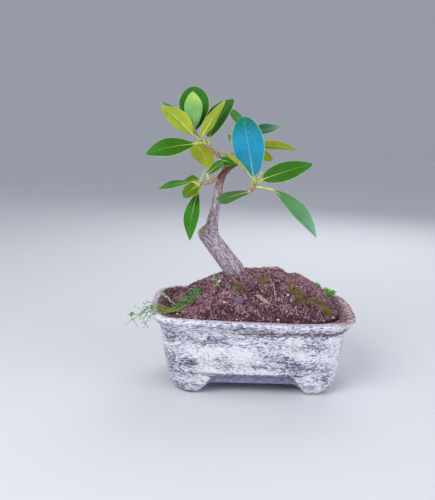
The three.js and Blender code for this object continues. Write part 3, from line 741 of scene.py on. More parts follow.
def hiddenBySoil(local):
    x, y, z = local
    low, high = potForm["hiddenFrom"]
    insideX = potForm["halfLength"] - blend(*potForm["hiddenEnds"], z / potForm["lipTop"])
    insideY = potForm["halfDepth"] - blend(*potForm["hiddenSides"], z / potForm["lipTop"])
    return low < z < high and abs(x) < insideX and abs(y) < insideY


# Thins the faces of one region of the pot
def thinFaces(piece, inRegion, ratio):
    selectFaces(piece, lambda middle, normal: inRegion((middle - potMiddle) / mm, normal))
    with editing("KEEP"):
        bpy.ops.mesh.decimate(ratio=ratio)


def makePot():
    piece = copyOfNode("pot", "pot_clay", potLook["grid"], potLook["rounds"])
    for vertex in piece.data.vertices:
        local = (vertex.co - potMiddle) / mm
        x, z = local.x, local.z
        vertex.co.x += x * potLook["flare"][x > 0] * min(1.0, max(0.0, (z - 54) / 9)) * mm
        # The sides of the long arches slant: wider at the ground, narrower under the band
        besideArch = step(abs(x), 20, 33) * (1 - step(abs(x), 43, 60)) * (1 - step(z, 18, 26))
        vertex.co.x += x * potLook["slant"] * (1 - min(z, 18) / 9) * besideArch * mm
    thinFaces(piece, lambda local, normal: hiddenBySoil(local), 0.04)
    thinFaces(piece, lambda local, normal: normal.z < -0.7 and local.z < 16, 0.3)
    roughen(piece, potHeight)
    for vertex in piece.data.vertices:
        vertex.co.z = max(vertex.co.z, 0.0)
    potMasks(piece)
    return settle(piece, 80, makePotMaterial(), "pot_shell", "pot_clay", "pot")


potShell = makePot()
print("stage: pot,", len(potShell.data.polygons), "faces")


# Drainage screens: they keep their imported form and take only a material

screenTones = [(0.3, "#1d1f1e"), (0.8, "#3a3d3a")]
screenPlastic = plainMaterial("screenPlastic", 0.5, 400.0, screenTones, (0.2, 0.2))
for side in ("screen_left", "screen_right"):
    frame["nodes"][side].data.materials.clear()
    frame["nodes"][side].data.materials.append(screenPlastic)


# Wood: the limbs' points are x, y, z and radius, and tell the bark which way it runs

wood = {
    "trunk": [
        (-6.2, 7, 62, 9.4), (-11.9, 4, 82, 9.3), (-16.7, 2, 94, 8.6), (-25, 1.5, 106, 8.1),
        (-33.2, 1, 116.6, 7.7), (-38.2, 0.2, 123, 7.5), (-41.4, 0, 127, 6.7), (-43.5, 0, 129.6, 4.7),
    ],
    "leader": [
        (-31.6, 0.5, 115, 4.5), (-35.4, 0, 126, 5.6), (-35.3, 0, 135, 4.7), (-32.8, 0, 148, 3.9),
        (-31, 0, 160, 3.5), (-29.8, 0, 168.5, 3.6), (-26.8, 0, 175.1, 3.2), (-22.3, 0.4, 179.6, 2.5),
        (-18.5, 0.8, 182.1, 2.1), (-15.2, 1.2, 183.2, 1.6),
    ],
    "crownTwig": [
        (-25.2, 0, 174, 2.2), (-27.4, 0, 181, 1.9), (-29.8, -0.5, 187.3, 1.7), (-34.4, -2, 192.4, 1.6),
        (-40.7, -4, 197.2, 1.5), (-47.6, -6, 203, 1.5), (-50.6, -7, 206.8, 1.3),
    ],
    "leftTwig": [
        (-30.2, 0, 170, 2.4), (-35.2, -3, 169, 2.0), (-40.2, -6, 167.8, 2.0), (-44.9, -9, 166.8, 1.6),
        (-47.6, -10.5, 166.6, 1.3),
    ],
    "backTwig": [
        (-17.8, 1, 181.6, 1.7), (-20.2, 4, 187, 1.5), (-19.6, 6.4, 193, 1.35), (-15.7, 9, 201, 1.3),
        (-11.7, 11.2, 207.6, 1.1),
    ],
    "rightTwig": [
        (-30.7, 0, 153.5, 2.2), (-23.2, -3, 155.6, 1.8), (-14.2, -6.5, 158.6, 1.7), (-5.6, -10, 162.2, 1.8),
        (0.7, -12, 169.2, 1.6),
    ],
}
woodLook = {
    "grid": 0.46,
    "rounds": 5,
    "furrows": 0.44,
    "ringGap": 4.6,  # mm between the leaf rings of a twig
    "youngFrom": (157, 172),  # heights between which the leader's bark turns young
    "mossTop": 96,  # height under which moss grows on the trunk's left side
    "stubEnd": (-47.4, -2, 126.8),
    "stubReach": 7.5,  # how far the cut face spreads from there
    "bark": "#9a8a98",
    "barkPale": "#d8cbd6",
    "barkDark": "#695660",
    "youngBark": "#7a4a3a",
    "twigBark": "#a98074",
    "stubFace": "#dcc49a",
}


# For every vertex: its limb, how far along it lies, and where round the limb
def alongLimbs(piece):
    centres, headings, sides, lengths, radii, limbs = [], [], [], [], [], []
    for number, points in enumerate(wood.values()):
        places = [Vector(point[:3]) for point in points]
        samples = 12 * (len(points) - 1)
        side = Vector((0, 1, 0))
        length = 0.0
        for i in range(samples + 1):
            share = i / samples
            centre = pathPoint(places, share)
            heading = pathHeading(places, share)
            side = (side - heading * side.dot(heading)).normalized()
            if i:
                length += (centre - last).length
            last = centre
            centres.append(centre)
            headings.append(heading)
            sides.append(side.copy())
            lengths.append(length)
            radii.append(radiusAt(points, share))
            limbs.append(number)
    centres, headings, sides = [np.array([tuple(v) for v in group]) for group in (centres, headings, sides)]
    lengths, radii, limbs = np.array(lengths), np.array(radii), np.array(limbs)
    points = np.array([tuple((vertex.co - potMiddle) / mm) for vertex in piece.data.vertices])
    nearest = np.empty(len(points), int)
    for first in range(0, len(points), 4000):
        part = points[first : first + 4000]
        gaps = np.linalg.norm(part[:, None, :] - centres[None], axis=2) - radii[None]
        nearest[first : first + 4000] = gaps.argmin(1)
    away = points - centres[nearest]
    ahead = (away * headings[nearest]).sum(1)
    across = away - ahead[:, None] * headings[nearest]
    other = np.cross(headings[nearest], sides[nearest])
    u = (across * sides[nearest]).sum(1)
    v = (across * other).sum(1)
    return u, v, lengths[nearest] + ahead, radii[nearest], limbs[nearest]


def makeWoodMaterial():
    material, tree, shader = newMaterial("ficusBark", Roughness=0.85, Specular_IOR_Level=0.25)
    look = woodLook
    around = meshValue(tree, "barkPlace", "Vector")
    vector = addNode(tree, "Mapping", {"Vector": around, "Scale": (1, 1, 0.34)}).outputs[0]
    plain = objectPlace(tree)
    streak = noiseValue(tree, vector, 1.0, 6.0, 0.74, 0.5)
    stops = [(0.38, look["barkDark"]), (0.475, look["bark"]), (0.58, look["barkPale"])]
    colour = colourRamp(tree, streak, stops)
    colour = coat(tree, meshValue(tree, "furrow"), 0.6, colour, paint(look["barkDark"]))
    warm = patchMask(tree, plain, 120.0, 0.4, 0.15)
    colour = coat(tree, warm, 0.35, colour, paint("#a88f84"))
    # Bark near the top is younger: rust brown with pale flakes, and tan on the twigs
    flakes = patchMask(tree, plain, 330.0, 0.36, 0.07)
    rust = mixColour(tree, flakes, paint(look["youngBark"]), paint("#b0845f"))
    colour = mixColour(tree, meshValue(tree, "youth"), colour, rust)
    twig = mixColour(tree, flakes, paint(look["twigBark"]), paint("#dcc3ba"))
    colour = mixColour(tree, meshValue(tree, "twiggy"), colour, twig)
    pores = speckMask(tree, plain, 850.0, 0.5, 0.06)
    colour = coat(tree, pores, 0.5, colour, paint(look["barkPale"]))
    dents = speckMask(tree, objectPlace(tree, (1.1, 1.1, 0.8)), 600.0, 0.4, 0.06)
    colour = coat(tree, dents, 0.75, colour, paint(look["barkDark"]))
    cutWood = mixColour(tree, warm, paint(look["stubFace"]), paint("#a98c66"))
    colour = coat(tree, meshValue(tree, "cutFace"), 0.9, colour, cutWood)
    green = patchMask(tree, plain, 180.0, 0.52, 0.1)
    colour = coat(tree, meshValue(tree, "mossy"), green, colour, paint("#7d7a48"))
    bumps = calc(tree, "MULTIPLY", pores, 0.3)
    height = calc(tree, "ADD", noiseValue(tree, vector, 2.6, 6.0, 0.75), bumps)
    dress(tree, shader, colour, height, 0.7, 0.4)
    return material


def makeWood():
    piece = copyOfNode("tree_wood", "wood", woodLook["grid"], woodLook["rounds"])
    u, v, along, radius, limb = alongLimbs(piece)
    normals = [entry.vector.copy() for entry in piece.data.vertex_normals]
    masks = {"furrow": [], "youth": [], "twiggy": [], "cutFace": [], "mossy": []}
    stubEnd = place(*woodLook["stubEnd"])
    for i, vertex in enumerate(piece.data.vertices):
        size = min(1.0, radius[i] / 6)
        wide = grain(u[i] * 0.42, v[i] * 0.42, along[i] * 0.05 + 9 * limb[i])
        fine = grain(u[i] * 0.95, v[i] * 0.95, along[i] * 0.13 + 30)
        knots = grain(vertex.co.x * 160, vertex.co.y * 160, vertex.co.z * 160)
        furrow = step(-0.8 * wide - 0.6 * fine, 0.08, 0.4)
        height = woodLook["furrows"] * (0.8 * wide + 0.6 * fine - 0.8 * furrow) + 0.25 * knots
        if limb[i] > 1:
            # Twigs carry rings where old leaves stood
            ring = math.cos(along[i] * 2 * math.pi / woodLook["ringGap"])
            height += 0.3 * step(ring, 0.8, 1.0)
        vertex.co += normals[i] * height * size * mm
        masks["furrow"].append(furrow * min(1.0, radius[i] / 4))
        z = vertex.co.z / mm
        masks["youth"].append(0.9 * step(z + 3 * wide, *woodLook["youngFrom"]) if limb[i] == 1 else 0.0)
        masks["twiggy"].append(0.85 if limb[i] > 1 else 0.0)
        away = (vertex.co - stubEnd).length / mm
        masks["cutFace"].append(step(woodLook["stubReach"] - away, 0, 4) if limb[i] == 0 else 0.0)
        mossy = step(woodLook["mossTop"] - z, 0, 12)
        masks["mossy"].append(0.75 * mossy * step(-normals[i].x, -0.2, 0.5))
    keepValues(piece, **masks)
    bark = piece.data.attributes.new("barkPlace", "FLOAT_VECTOR", "POINT")
    stacked = np.stack([u, v, along + 40 * limb], axis=1).astype(np.float32)
    bark.data.foreach_set("vector", stacked.ravel())
    return settle(piece, 80, makeWoodMaterial(), "tree_wood_bark", "bark", "tree_wood")


treeWood = makeWood()
print("stage: wood,", len(treeWood.data.polygons), "faces")


# Leaves: root is on the twig, neck where the blade starts, up the side its upper face looks to and
# full the share of the blade where it is widest; a last entry is what makes some outlines special

leafColumns = ("root", "neck", "tip", "up", "wide", "arch", "fold", "full", "tone")
leafRows = {
    "crown_back": (
        (-50, -5.8, 205.9), (-50.6, -3.2, 209.4), (-53, 9, 244), (0, -1, 0.25),
        25.4, -2, 0.16, 0.62, "deep", {"blunt": 1},
    ),
    "crown_front": (
        (-50.6, -7.6, 206.4), (-51, -8.6, 210.4), (-53, -6, 239.6), (0, -1, 0),
        14.8, -2, 0.15, 0.6, "mint", {"blunt": 0.3},
    ),
    "crown_left": (
        (-46, -6.7, 201.9), (-52.2, -10.8, 206.6), (-76.4, -21, 228), (0.3, 0.9, 0.4),
        16.8, 2, 0.14, 0.46, "green", {"blunt": 0.7, "swell": 0.5},
    ),
    "crown_far_left": (
        (-46.6, -5.3, 202.2), (-54.2, -1.4, 207.2), (-79.8, 5, 231.8), (0.45, -0.35, 0.75),
        13, 2, 0.2, 0.5, "deep",
    ),
    "crown_low_left": (
        (-44, -5, 199.6), (-51.2, -9.4, 198.8), (-89, -19, 190.2), (-0.1, -0.75, 0.65),
        18.6, 2.4, 0.14, 0.5, "green",
    ),
    "crown_hanging": (
        (-43.2, -4.4, 199.2), (-50, 2, 200.2), (-36.8, 8, 177), (0.1, 0.95, 0.33),
        19, 1.5, 0.15, 0.32, "yellow", {"swell": 0.8},
    ),
    "crown_right_low": (
        (-41.8, -4.4, 198), (-44.9, -9.6, 204.6), (-27, -13, 233), (-0.6, 0.72, 0.49),
        13.2, 1.5, 0.14, 0.36, "green",
    ),
    "crown_right_high": (
        (-39.6, -3.7, 196.4), (-39.6, 0.6, 203.6), (-20, 8, 234.6), (-0.62, -0.72, 0.3),
        22.4, 2, 0.42, 0.5, "dark",
    ),
    "left_long": (
        (-47, -10.1, 166.7), (-51.6, -11.6, 168.6), (-80.2, -9, 161.4), (-0.2, -0.35, 0.9),
        12.5, 1.6, 0.14, 0.52, "bright",
    ),
    "left_olive_front": (
        (-46, -9.6, 166.8), (-47, -14.2, 166.4), (-58.2, -24, 157.6), (0.2, -0.6, 0.75),
        12, 1.8, 0.12, 0.55, "olive", {"blunt": 0.8},
    ),
    "left_olive_back": (
        (-44.2, -8.7, 167.2), (-46.6, -5.6, 169), (-58.6, -4, 168.6), (-0.1, -0.65, 0.75),
        10.4, 1, 0.12, 0.45, "olive", {"blunt": 0.8},
    ),
    "left_hanging": (
        (-43.2, -7.9, 167.2), (-47.2, -12, 160.4), (-53.2, -16, 121.6), (-0.5, -0.86, 0.08),
        14.4, 3.4, 0.14, 0.5, "bright",
    ),
    "inner_front": (
        (-37.8, -4.6, 168.4), (-40.2, -7.6, 174.4), (-26.6, -9.4, 185.8), (-0.45, -0.85, 0.25),
        7.8, 1, 0.12, 0.66, "green", {"blunt": 1},
    ),
    "inner_back": (
        (-29, -0.3, 185.4), (-30.6, -4.4, 186.6), (-18, -7, 182.8), (0.15, -0.85, 0.5),
        9.2, 1, 0.12, 0.5, "deep",
    ),
    "back_up": (
        (-12, 11.1, 207.1), (-8.8, 18.6, 210.8), (-25.4, 18, 227.8), (0.2, -0.9, 0.3),
        8.8, 1.5, 0.14, 0.36, "leafy",
    ),
    "back_right_high": (
        (-13, 10.4, 204.8), (-7.2, 12.8, 205.6), (24.2, 22, 213.6), (-0.15, -0.5, 0.84),
        15.2, 1.6, 0.2, 0.45, "slate", {"drawn": 1},
    ),
    "back_right_mid": (
        (-15, 9.4, 202), (-7.2, 11.4, 197.8), (34.4, 14, 194.4), (0.1, 0.6, 0.8),
        13, 2.2, 0.12, 0.5, "yellow",
    ),
    "back_right_low": (
        (-16, 8.8, 200.4), (-10.8, 9.2, 194.8), (13.8, 11, 186), (0.3, 0.8, 0.5),
        12.4, 1, 0.12, 0.55, "yellow", {"blunt": 1},
    ),
    "back_left_small": (
        (-17.4, 7.9, 197.4), (-19.2, 5, 200.4), (-24, 2, 206.4), (-0.4, -0.6, 0.5),
        4.2, 0.5, 0.12, 0.5, "yellow",
    ),
    "blue": (
        (-1.1, -11.4, 167.4), (-3.2, -13, 174.6), (-12.6, -9.4, 221.4), (0.05, -0.97, 0.2),
        26.2, 1.6, 0.1, 0.57, "blue", {"blunt": 1, "swell": 0.7},
    ),
    "right_band": (
        (-3.4, -10.7, 164.8), (-4.4, -19, 174), (-35, -21, 195.8), (0.5, 0.42, 0.76),
        8, 3.6, 0.1, 0.5, "yellow",
    ),
    "right_high": (
        (0, -12.2, 168.2), (4.4, -14, 172.2), (44.8, -8, 184.8), (-0.25, -0.85, 0.45),
        17.2, 2.2, 0.14, 0.42, "green", {"swell": 0.8},
    ),
    "right_drooping": (
        (-2, -11.1, 166.2), (13.2, -18, 164.2), (47.8, -28, 128.6), (0.44, -0.65, 0.61),
        17, 3, 0.4, 0.5, "grey",
    ),
    "right_inward": (
        (-5.4, -10.1, 162.6), (-6.4, -13.5, 162), (-31, -23, 154.6), (0, -0.6, 0.8),
        12.8, 1.2, 0.12, 0.74, "dull", {"blunt": 1},
    ),
}
leaves = {}
for name, row in leafRows.items():
    leaves[name] = dict(zip(leafColumns, row))
    leaves[name].update(*row[len(leafColumns):])
leafShape = {"across": 8, "along": 22, "thick": 0.42, "petiole": 1.0, "ripple": 0.35}

# Colours of the upper face from base to tip, then of the underside
leafTones = {
    "green": {"top": ("#35650c", "#306a0e", "#2f7320"), "under": ("#a6b634", "#adbd3a", "#b2c140")},
    "deep": {"top": ("#2a6a14", "#246f10", "#2c701c"), "under": ("#a3b13c", "#a8b540", "#adb845")},
    "leafy": {"top": ("#4c9a3a", "#55a048", "#4a9244"), "under": ("#a3b13c", "#a8b540", "#adb845")},
    "dark": {"top": ("#275510", "#1f5510", "#2f6a20"), "under": ("#8fa035", "#93a23a", "#98a53a")},
    "bright": {"top": ("#2f7212", "#327818", "#3a8024"), "under": ("#94a43a", "#94a43a", "#94a43a")},
    "mint": {"top": ("#4c8a30", "#7bb368", "#b0d96e"), "under": ("#8fb06a", "#9ab874", "#a8bf74")},
    "olive": {"top": ("#6f8412", "#587607", "#537210"), "under": ("#8f9c28", "#768a26", "#768a26")},
    "yellow": {"top": ("#8a9626", "#869f2a", "#7f9f2c"), "under": ("#a8b72a", "#afbf2c", "#b0c030")},
    # Grey-green whose upper face turns paler and bluer towards the tip, a painted sheen
    "grey": {"top": ("#4c8040", "#558e5c", "#73a488"), "under": ("#7f964a", "#869658", "#869660")},
    "slate": {"top": ("#2a5a2c", "#295e40", "#5f8a74"), "under": ("#5f7a50", "#5f7a50", "#7f9a80")},
    "dull": {"top": ("#436433", "#44693b", "#43703a"), "under": ("#8f9a50", "#8f9a50", "#8f9a50")},
    # The blue leaf's cyan-blue is a painted reflection of blue light on a glossy leaf, laid on as its colour
    "blue": {"top": ("#2a8f90", "#218bae", "#0b7558"), "under": ("#4a9a8a", "#4a9ab0", "#4a9a70")},
}


def makeLeafFace(name, colours, rib, rim, roughness, spread):
    material, tree, shader = newMaterial(name, Roughness=roughness, Specular_IOR_Level=0.16)
    along = addNode(tree, "SeparateXYZ", {0: addNode(tree, "UVMap").outputs[0]}).outputs[1]
    inputs = {
        "Vector": objectPlace(tree), "Along": along, "From Rib": meshValue(tree, "fromRib"),
        "From Rim": meshValue(tree, "fromRim"), "Base": paint(colours[0]), "Middle": paint(colours[1]),
        "Tip": paint(colours[2]), "Rib": paint(rib), "Rim": paint(rim),
        "Base End": spread[0], "Tip Start": spread[1],
    }
    marks = useGroup(tree, leafMarks, inputs)
    # A few darker specks, as on an old leaf
    few = speckMask(tree, objectPlace(tree), 700.0, 0.1, 0.04)
    colour = coat(tree, few, 0.35, marks["Color"], paint("#3a4a20"))
    dress(tree, shader, colour, marks["Height"], 0.35, 0.3)
    return material


petioleTones = [(0.3, "#a3b552"), (0.7, "#d4de86")]
petioleSkin = plainMaterial("petioleSkin", 0.5, 260.0, petioleTones, (0.2, 0.2))
edgeTones = [(0.3, "#7fae56"), (0.7, "#c3d892")]
leafEdge = plainMaterial("leafEdge", 0.6, 200.0, edgeTones, (0.2, 0.2), Specular_IOR_Level=0.2)
leafFaces = {}
for tone, colours in leafTones.items():
    # The blue leaf's pale blue rib and rim and its long blue middle belong to the same painted reflection
    rib = "#8ac0d6" if tone == "blue" else "#93b35c"
    rim = "#7fb4a4" if tone == "blue" else "#8fae80"
    spread = (0.16, 0.66) if tone == "blue" else (0.45, 0.5)
    top = makeLeafFace("leafTop_" + tone, colours["top"], rib, rim, 0.46, spread)
    under = makeLeafFace("leafUnder_" + tone, colours["under"], "#c9cf6a", "#b6c47c", 0.6, spread)
    leafFaces[tone] = (top, under)


# Half-width of a blade at a share of its length, for an outline widest at full
def bladeOutline(t, leaf):
    full = leaf["full"]
    side = t / full if t < full else (1 - t) / (1 - full)
    rise = math.sin(math.pi / 2 * min(1.0, max(0.0, side)))
    power = 0.8 - 0.3 * leaf.get("swell", 0)
    if t > full:
        power = 0.86 - 0.34 * leaf.get("blunt", 0) + 0.7 * leaf.get("drawn", 0)
    return rise**power


def makeLeaf(name, leaf, seed):
    draw = random.Random(seed)
    root, neck, tip, up = [Vector(leaf[key]) for key in ("root", "neck", "tip", "up")]
    axis = (tip - neck).normalized()
    up = (up - axis * up.dot(axis)).normalized()
    arch = leaf["arch"]
    path = [
        root, root.lerp(neck, 0.55) + up * 0.3, neck, neck.lerp(tip, 0.33) + up * arch * 0.8,
        neck.lerp(tip, 0.66) + up * arch * 0.9, tip,
    ]
    ripplePhase = draw.uniform(0, 6)

    def sectionAt(station):
        centre = pathPoint(path, station / 5)
        heading = pathHeading(path, station / 5)
        facing = (up - heading * up.dot(heading)).normalized()
        return centre, heading, facing, heading.cross(facing)

    # The blade starts as a flat grid, is bent to its outline and thickened
    bpy.ops.mesh.primitive_grid_add(
        x_subdivisions=leafShape["across"], y_subdivisions=leafShape["along"], size=1, location=(0, 0, 0)
    )
    blade = bpy.context.object
    fromRib, fromRim = [], []
    for vertex in blade.data.vertices:
        share = vertex.co.x * 2
        t = vertex.co.y + 0.5
        station = 1.7 + 3.3 * t
        centre, heading, facing, side = sectionAt(station)
        bladeShare = max(0.0, (station - 2) / 3)
        opening = step(station, 1.6, 2.1)
        half = max(0.12, leaf["wide"] / 2 * bladeOutline(bladeShare, leaf))
        half = max(half, leafShape["petiole"] * 0.85 * (1 - bladeShare) ** 3)
        half = blend(leafShape["petiole"] * 0.7, half, opening)
        soft = math.sqrt(share * share + 0.03) - math.sqrt(0.03)
        rise = half * leaf["fold"] * soft * 1.1 - 0.05 * half * share**4
        wave = math.sin(bladeShare * 8 + ripplePhase + 1.3 * share)
        rise += leafShape["ripple"] * share**2 * opening * wave
        vertex.co = place(*(centre + side * share * half + facing * rise))
        fromRib.append(abs(share) * half)
        fromRim.append((1 - abs(share)) * half)
    keepValues(blade, fromRib=fromRib, fromRim=fromRim)
    top, under = leafFaces[leaf["tone"]]
    for material in (top, under, leafEdge):
        blade.data.materials.append(material)
    thickness = leafShape["thick"] * mm
    addModifier(blade, "SOLIDIFY", thickness=thickness, offset=-1, material_offset=1, material_offset_rim=2)
    addModifier(blade, "SUBSURF", levels=1, render_levels=1)
    applyModifiers(blade)
    # Stalk and midrib are one tapering rod, sunk into the blade from below
    points, radii = [], []
    for i in range(27):
        station = 5 * i / 26 * 0.985
        centre, heading, facing, side = sectionAt(station)
        opening = step(station, 1.6, 2.4)
        bladeShare = max(0.0, (station - 2) / 3)
        stalkRadius = leafShape["petiole"] * (1.12 - 0.14 * station)
        radius = blend(stalkRadius, 0.62 * (1 - bladeShare) + 0.12, opening)
        points.append(place(*(centre - facing * opening * (radius * 0.72 + 0.05))))
        radii.append(radius)
    stalk = makeRods("stalk", [(points, radii)], 2)
    stalk.data.materials.append(petioleSkin)
    node = "leaf_" + name
    settle(joinInto([blade, stalk]), 70, None, node + "_blade", frameSlot(node), node)


for number, (name, leaf) in enumerate(leaves.items()):
    makeLeaf(name, leaf, number)
print("stage: leaves,", len(leaves))


# Leaf buds: pointed sheaths, and the short stubs that fallen leaves left

buds = {
    "right": [
        (0.6, -11.4, 170.6, 0.9), (1.9, -11.6, 174, 1.25), (3.4, -12.2, 177, 0.9), (4.6, -12.9, 179.4, 0.2),
    ],
    "left": [
        (-46.1, -10.2, 167.9, 0.7), (-44.6, -9.4, 171.4, 0.9), (-43, -8.6, 175.6, 0.7),
        (-41.8, -7.9, 179.4, 0.15),
    ],
}


# Places and radii along a path whose points are x, y, z and radius
def rodAlong(points, count):
    path = [Vector(point[:3]) for point in points]
    return placesAlong(path, count), [radiusAt(points, i / count) for i in range(count + 1)]


# Stubs of fallen leaves: root, tip and radius
twigStubs = [
    ((-39.6, -6, 168.6), (-40.2, -6.8, 172.2), 0.75), ((-34.6, -3.2, 169.6), (-35, -4.2, 173), 0.7),
    ((-34, -3.4, 168.4), (-33.4, -5.6, 166.4), 0.7), ((-37.4, -5.2, 168), (-37, -7.6, 167.2), 0.65),
    ((-42.4, -7.6, 167.2), (-42.8, -8.6, 170), 0.6), ((-33.2, -2.2, 191.6), (-31.6, -4, 193.2), 0.6),
    ((-38.2, -3.4, 195.6), (-36.4, -5, 196.4), 0.55), ((-16.4, -6.2, 158.2), (-15.8, -7.6, 160.6), 0.6),
    ((-1.8, -11.2, 166.8), (-3.8, -12, 167.4), 0.7), ((-46.6, -6.4, 202.4), (-48.6, -8, 201.6), 0.7),
]


def makeTwigStubs():
    tones = [(0.35, "#8a8a34"), (0.5, "#c2b65a"), (0.65, "#e2d8a0")]
    material = plainMaterial("stubSkin", 0.7, 900.0, tones, (0.4, 0.2))
    strands = []
    for root, tip, radius in twigStubs:
        points = [place(*Vector(root).lerp(Vector(tip), i / 4)) for i in range(5)]
        strands.append((points, [radius * share for share in (1.25, 1.0, 0.85, 0.95, 0.7)]))
    settle(makeRods("stubs", strands, 2), 60, material, "twig_stubs", "bark")


budTones = [(0.3, "#7fae3f"), (0.7, "#c2d67a")]
budSheath = plainMaterial("budSheath", 0.45, 700.0, budTones, (0.3, 0.2), stretch=(1, 1, 0.3))
for side, points in buds.items():
    node = "bud_" + side
    bud = makeRods("bud", [rodAlong(points, 14)], 3)
    settle(bud, 60, budSheath, node + "_sheath", frameSlot(node), node)
makeTwigStubs()
print("stage: buds")


# Soil: a dark bed with a coat of loose grains

soilLook = {
    "grid": 1.5,
    "rounds": 3,
    "rows": (-74.0, 76, -52.0, 52),  # x and y, in mm, between which grains are strewn
    "reach": ((-72, 74), (-50, 50)),  # the same for fibres and clods
    "lowest": 55,  # height in mm from which the mound shows
    "steepest": 0.2,  # least upward share of the normal where a grain can lie
    "step": 1.42,  # mm between grains
    "grain": (0.5, 1.15),  # radii in mm
    "crumb": (0.22, 0.5),
    "lumps": 0.9,
    "fibres": 420,
    "clods": 420,
    "clod": (1.0, 2.1),
    "spilled": 520,  # grains on the inner half of the lip at the left
    "dip": (30.5, 6, 5.5, 24, 4.2),  # middle x, y, half widths and depth of the dip behind the crown
    "colours": [(0.0, "#2e1d25"), (0.28, "#61434c"), (0.55, "#8f6973"), (0.8, "#ab8994"), (1.0, "#c6a8b2")],
    "damp": "#4a3238",
    "seed": 21,
}


def makeSoilMaterial():
    material, tree, shader = newMaterial("soilGrains", Roughness=0.93, Specular_IOR_Level=0.2)
    place3d = objectPlace(tree)
    rough = noiseValue(tree, place3d, 900.0, 5.0, 0.7)
    colour = colourRamp(tree, vary(tree, meshValue(tree, "tone"), rough, 0.6), soilLook["colours"])
    damp = patchMask(tree, place3d, 40.0, 0.42, 0.12)
    colour = coat(tree, damp, 0.4, colour, paint(soilLook["damp"]))
    dress(tree, shader, colour, rough, 0.6, 0.5)
    return material


soilGrains = makeSoilMaterial()


# Crumbly lumps of a few millimetres
def soilLump(local):
    lumps = grain(*(local * 0.26)) + 0.5 * grain(*(local * 0.55)) + 0.5 * grain(*(local * 0.12))
    return soilLook["lumps"] * lumps


def soilHeight(local, normal):
    if local.z < 60:
        return -0.25
    x, y, wide, deep, depth = soilLook["dip"]
    dip = depth * math.exp(-(((local.x - x) / wide) ** 2) - ((local.y - y) / deep) ** 2)
    return soilLump(local) - 0.4 - dip


def makeSoilBed():
    piece = copyOfNode("soil", "soil", soilLook["grid"], soilLook["rounds"])
    roughen(piece, soilHeight)
    keepTone(piece, 0.12)
    return settle(piece, 60, soilGrains, "soil_bed", "potting_soil", "soil")


soilBed = makeSoilBed()
graph = bpy.context.evaluated_depsgraph_get()
mound, woodSkin, potSkin = [BVHTree.FromObject(piece, graph) for piece in (soilBed, treeWood, potShell)]
down = Vector((0, 0, -1))


# The mound's surface under or over a point, or None past its edge
def moundHit(x, y):
    start = place(x, y, 130)
    point, normal = mound.ray_cast(start, down)[:2]
    if point is None or point.z < soilLook["lowest"] * mm or normal.z < soilLook["steepest"]:
        return None
    return point, normal


# The same, or None inside the wood
def openHit(x, y):
    hit = moundHit(x, y)
    if hit is None:
        return None
    near, normal = woodSkin.find_nearest(hit[0])[:2]
    return None if (hit[0] - near).dot(normal) < 0.3 * mm else hit


# Moves the points of the active mesh a little at random
def roughenShape(offset, seed):
    with editing():
        bpy.ops.transform.vertex_random(offset=offset, seed=seed)


# A rounded lump, made from a cube
def makeLump(seed, rounding, jitter):
    bpy.ops.mesh.primitive_cube_add(size=1.5, location=(0, 0, 0))
    lump = bpy.context.object
    with editing():
        bpy.ops.mesh.subdivide(number_cuts=1)
        bpy.ops.transform.tosphere(value=rounding)
        bpy.ops.transform.vertex_random(offset=jitter, seed=seed)
        bpy.ops.transform.resize(value=(1.12, 0.95, 1.0))
    return lump


# A sharp little grain of about twenty faces
def makeGrain(seed, jitter):
    bpy.ops.mesh.primitive_ico_sphere_add(subdivisions=1, radius=1, location=(0, 0, 0))
    shape = bpy.context.object
    roughenShape(jitter, seed)
    return shape


def leanBy(draw, most):
    return Vector((draw.uniform(-most, most), draw.uniform(-most, most), 0))


# Spots over the whole mound: each with a grain's place, lean, size and tone
def strewOver(draw, sizes, stepSize):
    spots = []
    x, endX, startY, endY = soilLook["rows"]
    while x < endX:
        y = startY
        while y < endY:
            hit = openHit(x + draw.uniform(-0.6, 0.6) * stepSize, y + draw.uniform(-0.6, 0.6) * stepSize)
            size = blend(*sizes, draw.random() ** 1.8)
            turn = draw.uniform(0, 6.28)
            lean = leanBy(draw, 0.8)
            shape = [size * draw.uniform(0.75, 1.3) for axis in range(3)]
            shade = draw.gauss(0, 0.17)
            y += stepSize
            if hit is None:
                continue
            point, normal = hit
            local = (point - potMiddle) / mm
            tone = 0.5 + shade + 0.42 * soilLump(local) + 0.12 * grain(*(local * 0.09))
            tone = min(0.97, max(0.03, tone - 0.16 * step(-local.x, 34, 56)))
            spots.append((standOn(point, (normal + lean).normalized(), shape, turn, -0.1 * size), tone))
        x += stepSize
    return spots


# Root hairs and bits of straw, lying every way over the grains
def makeFibres(draw):
    strands = []
    while len(strands) < soilLook["fibres"]:
        x, y = [draw.uniform(*span) for span in soilLook["reach"]]
        turn = draw.uniform(0, 6.28)
        length = draw.uniform(2, 6.5)
        bend = draw.uniform(-0.5, 0.5)
        path = []
        for i in range(5):
            ahead = (i / 4 - 0.5) * length
            heading = turn + bend * (i / 4 - 0.5)
            hit = openHit(x + ahead * math.cos(heading), y + ahead * math.sin(heading))
            if hit is None:
                break
            path.append(hit[0] + hit[1] * (0.7 + 0.5 * math.sin(math.pi * i / 4)) * mm)
        if len(path) == 5:
            strands.append((path, [draw.uniform(0.1, 0.19)] * 5))
    return makeRods("fibres", strands, 0)


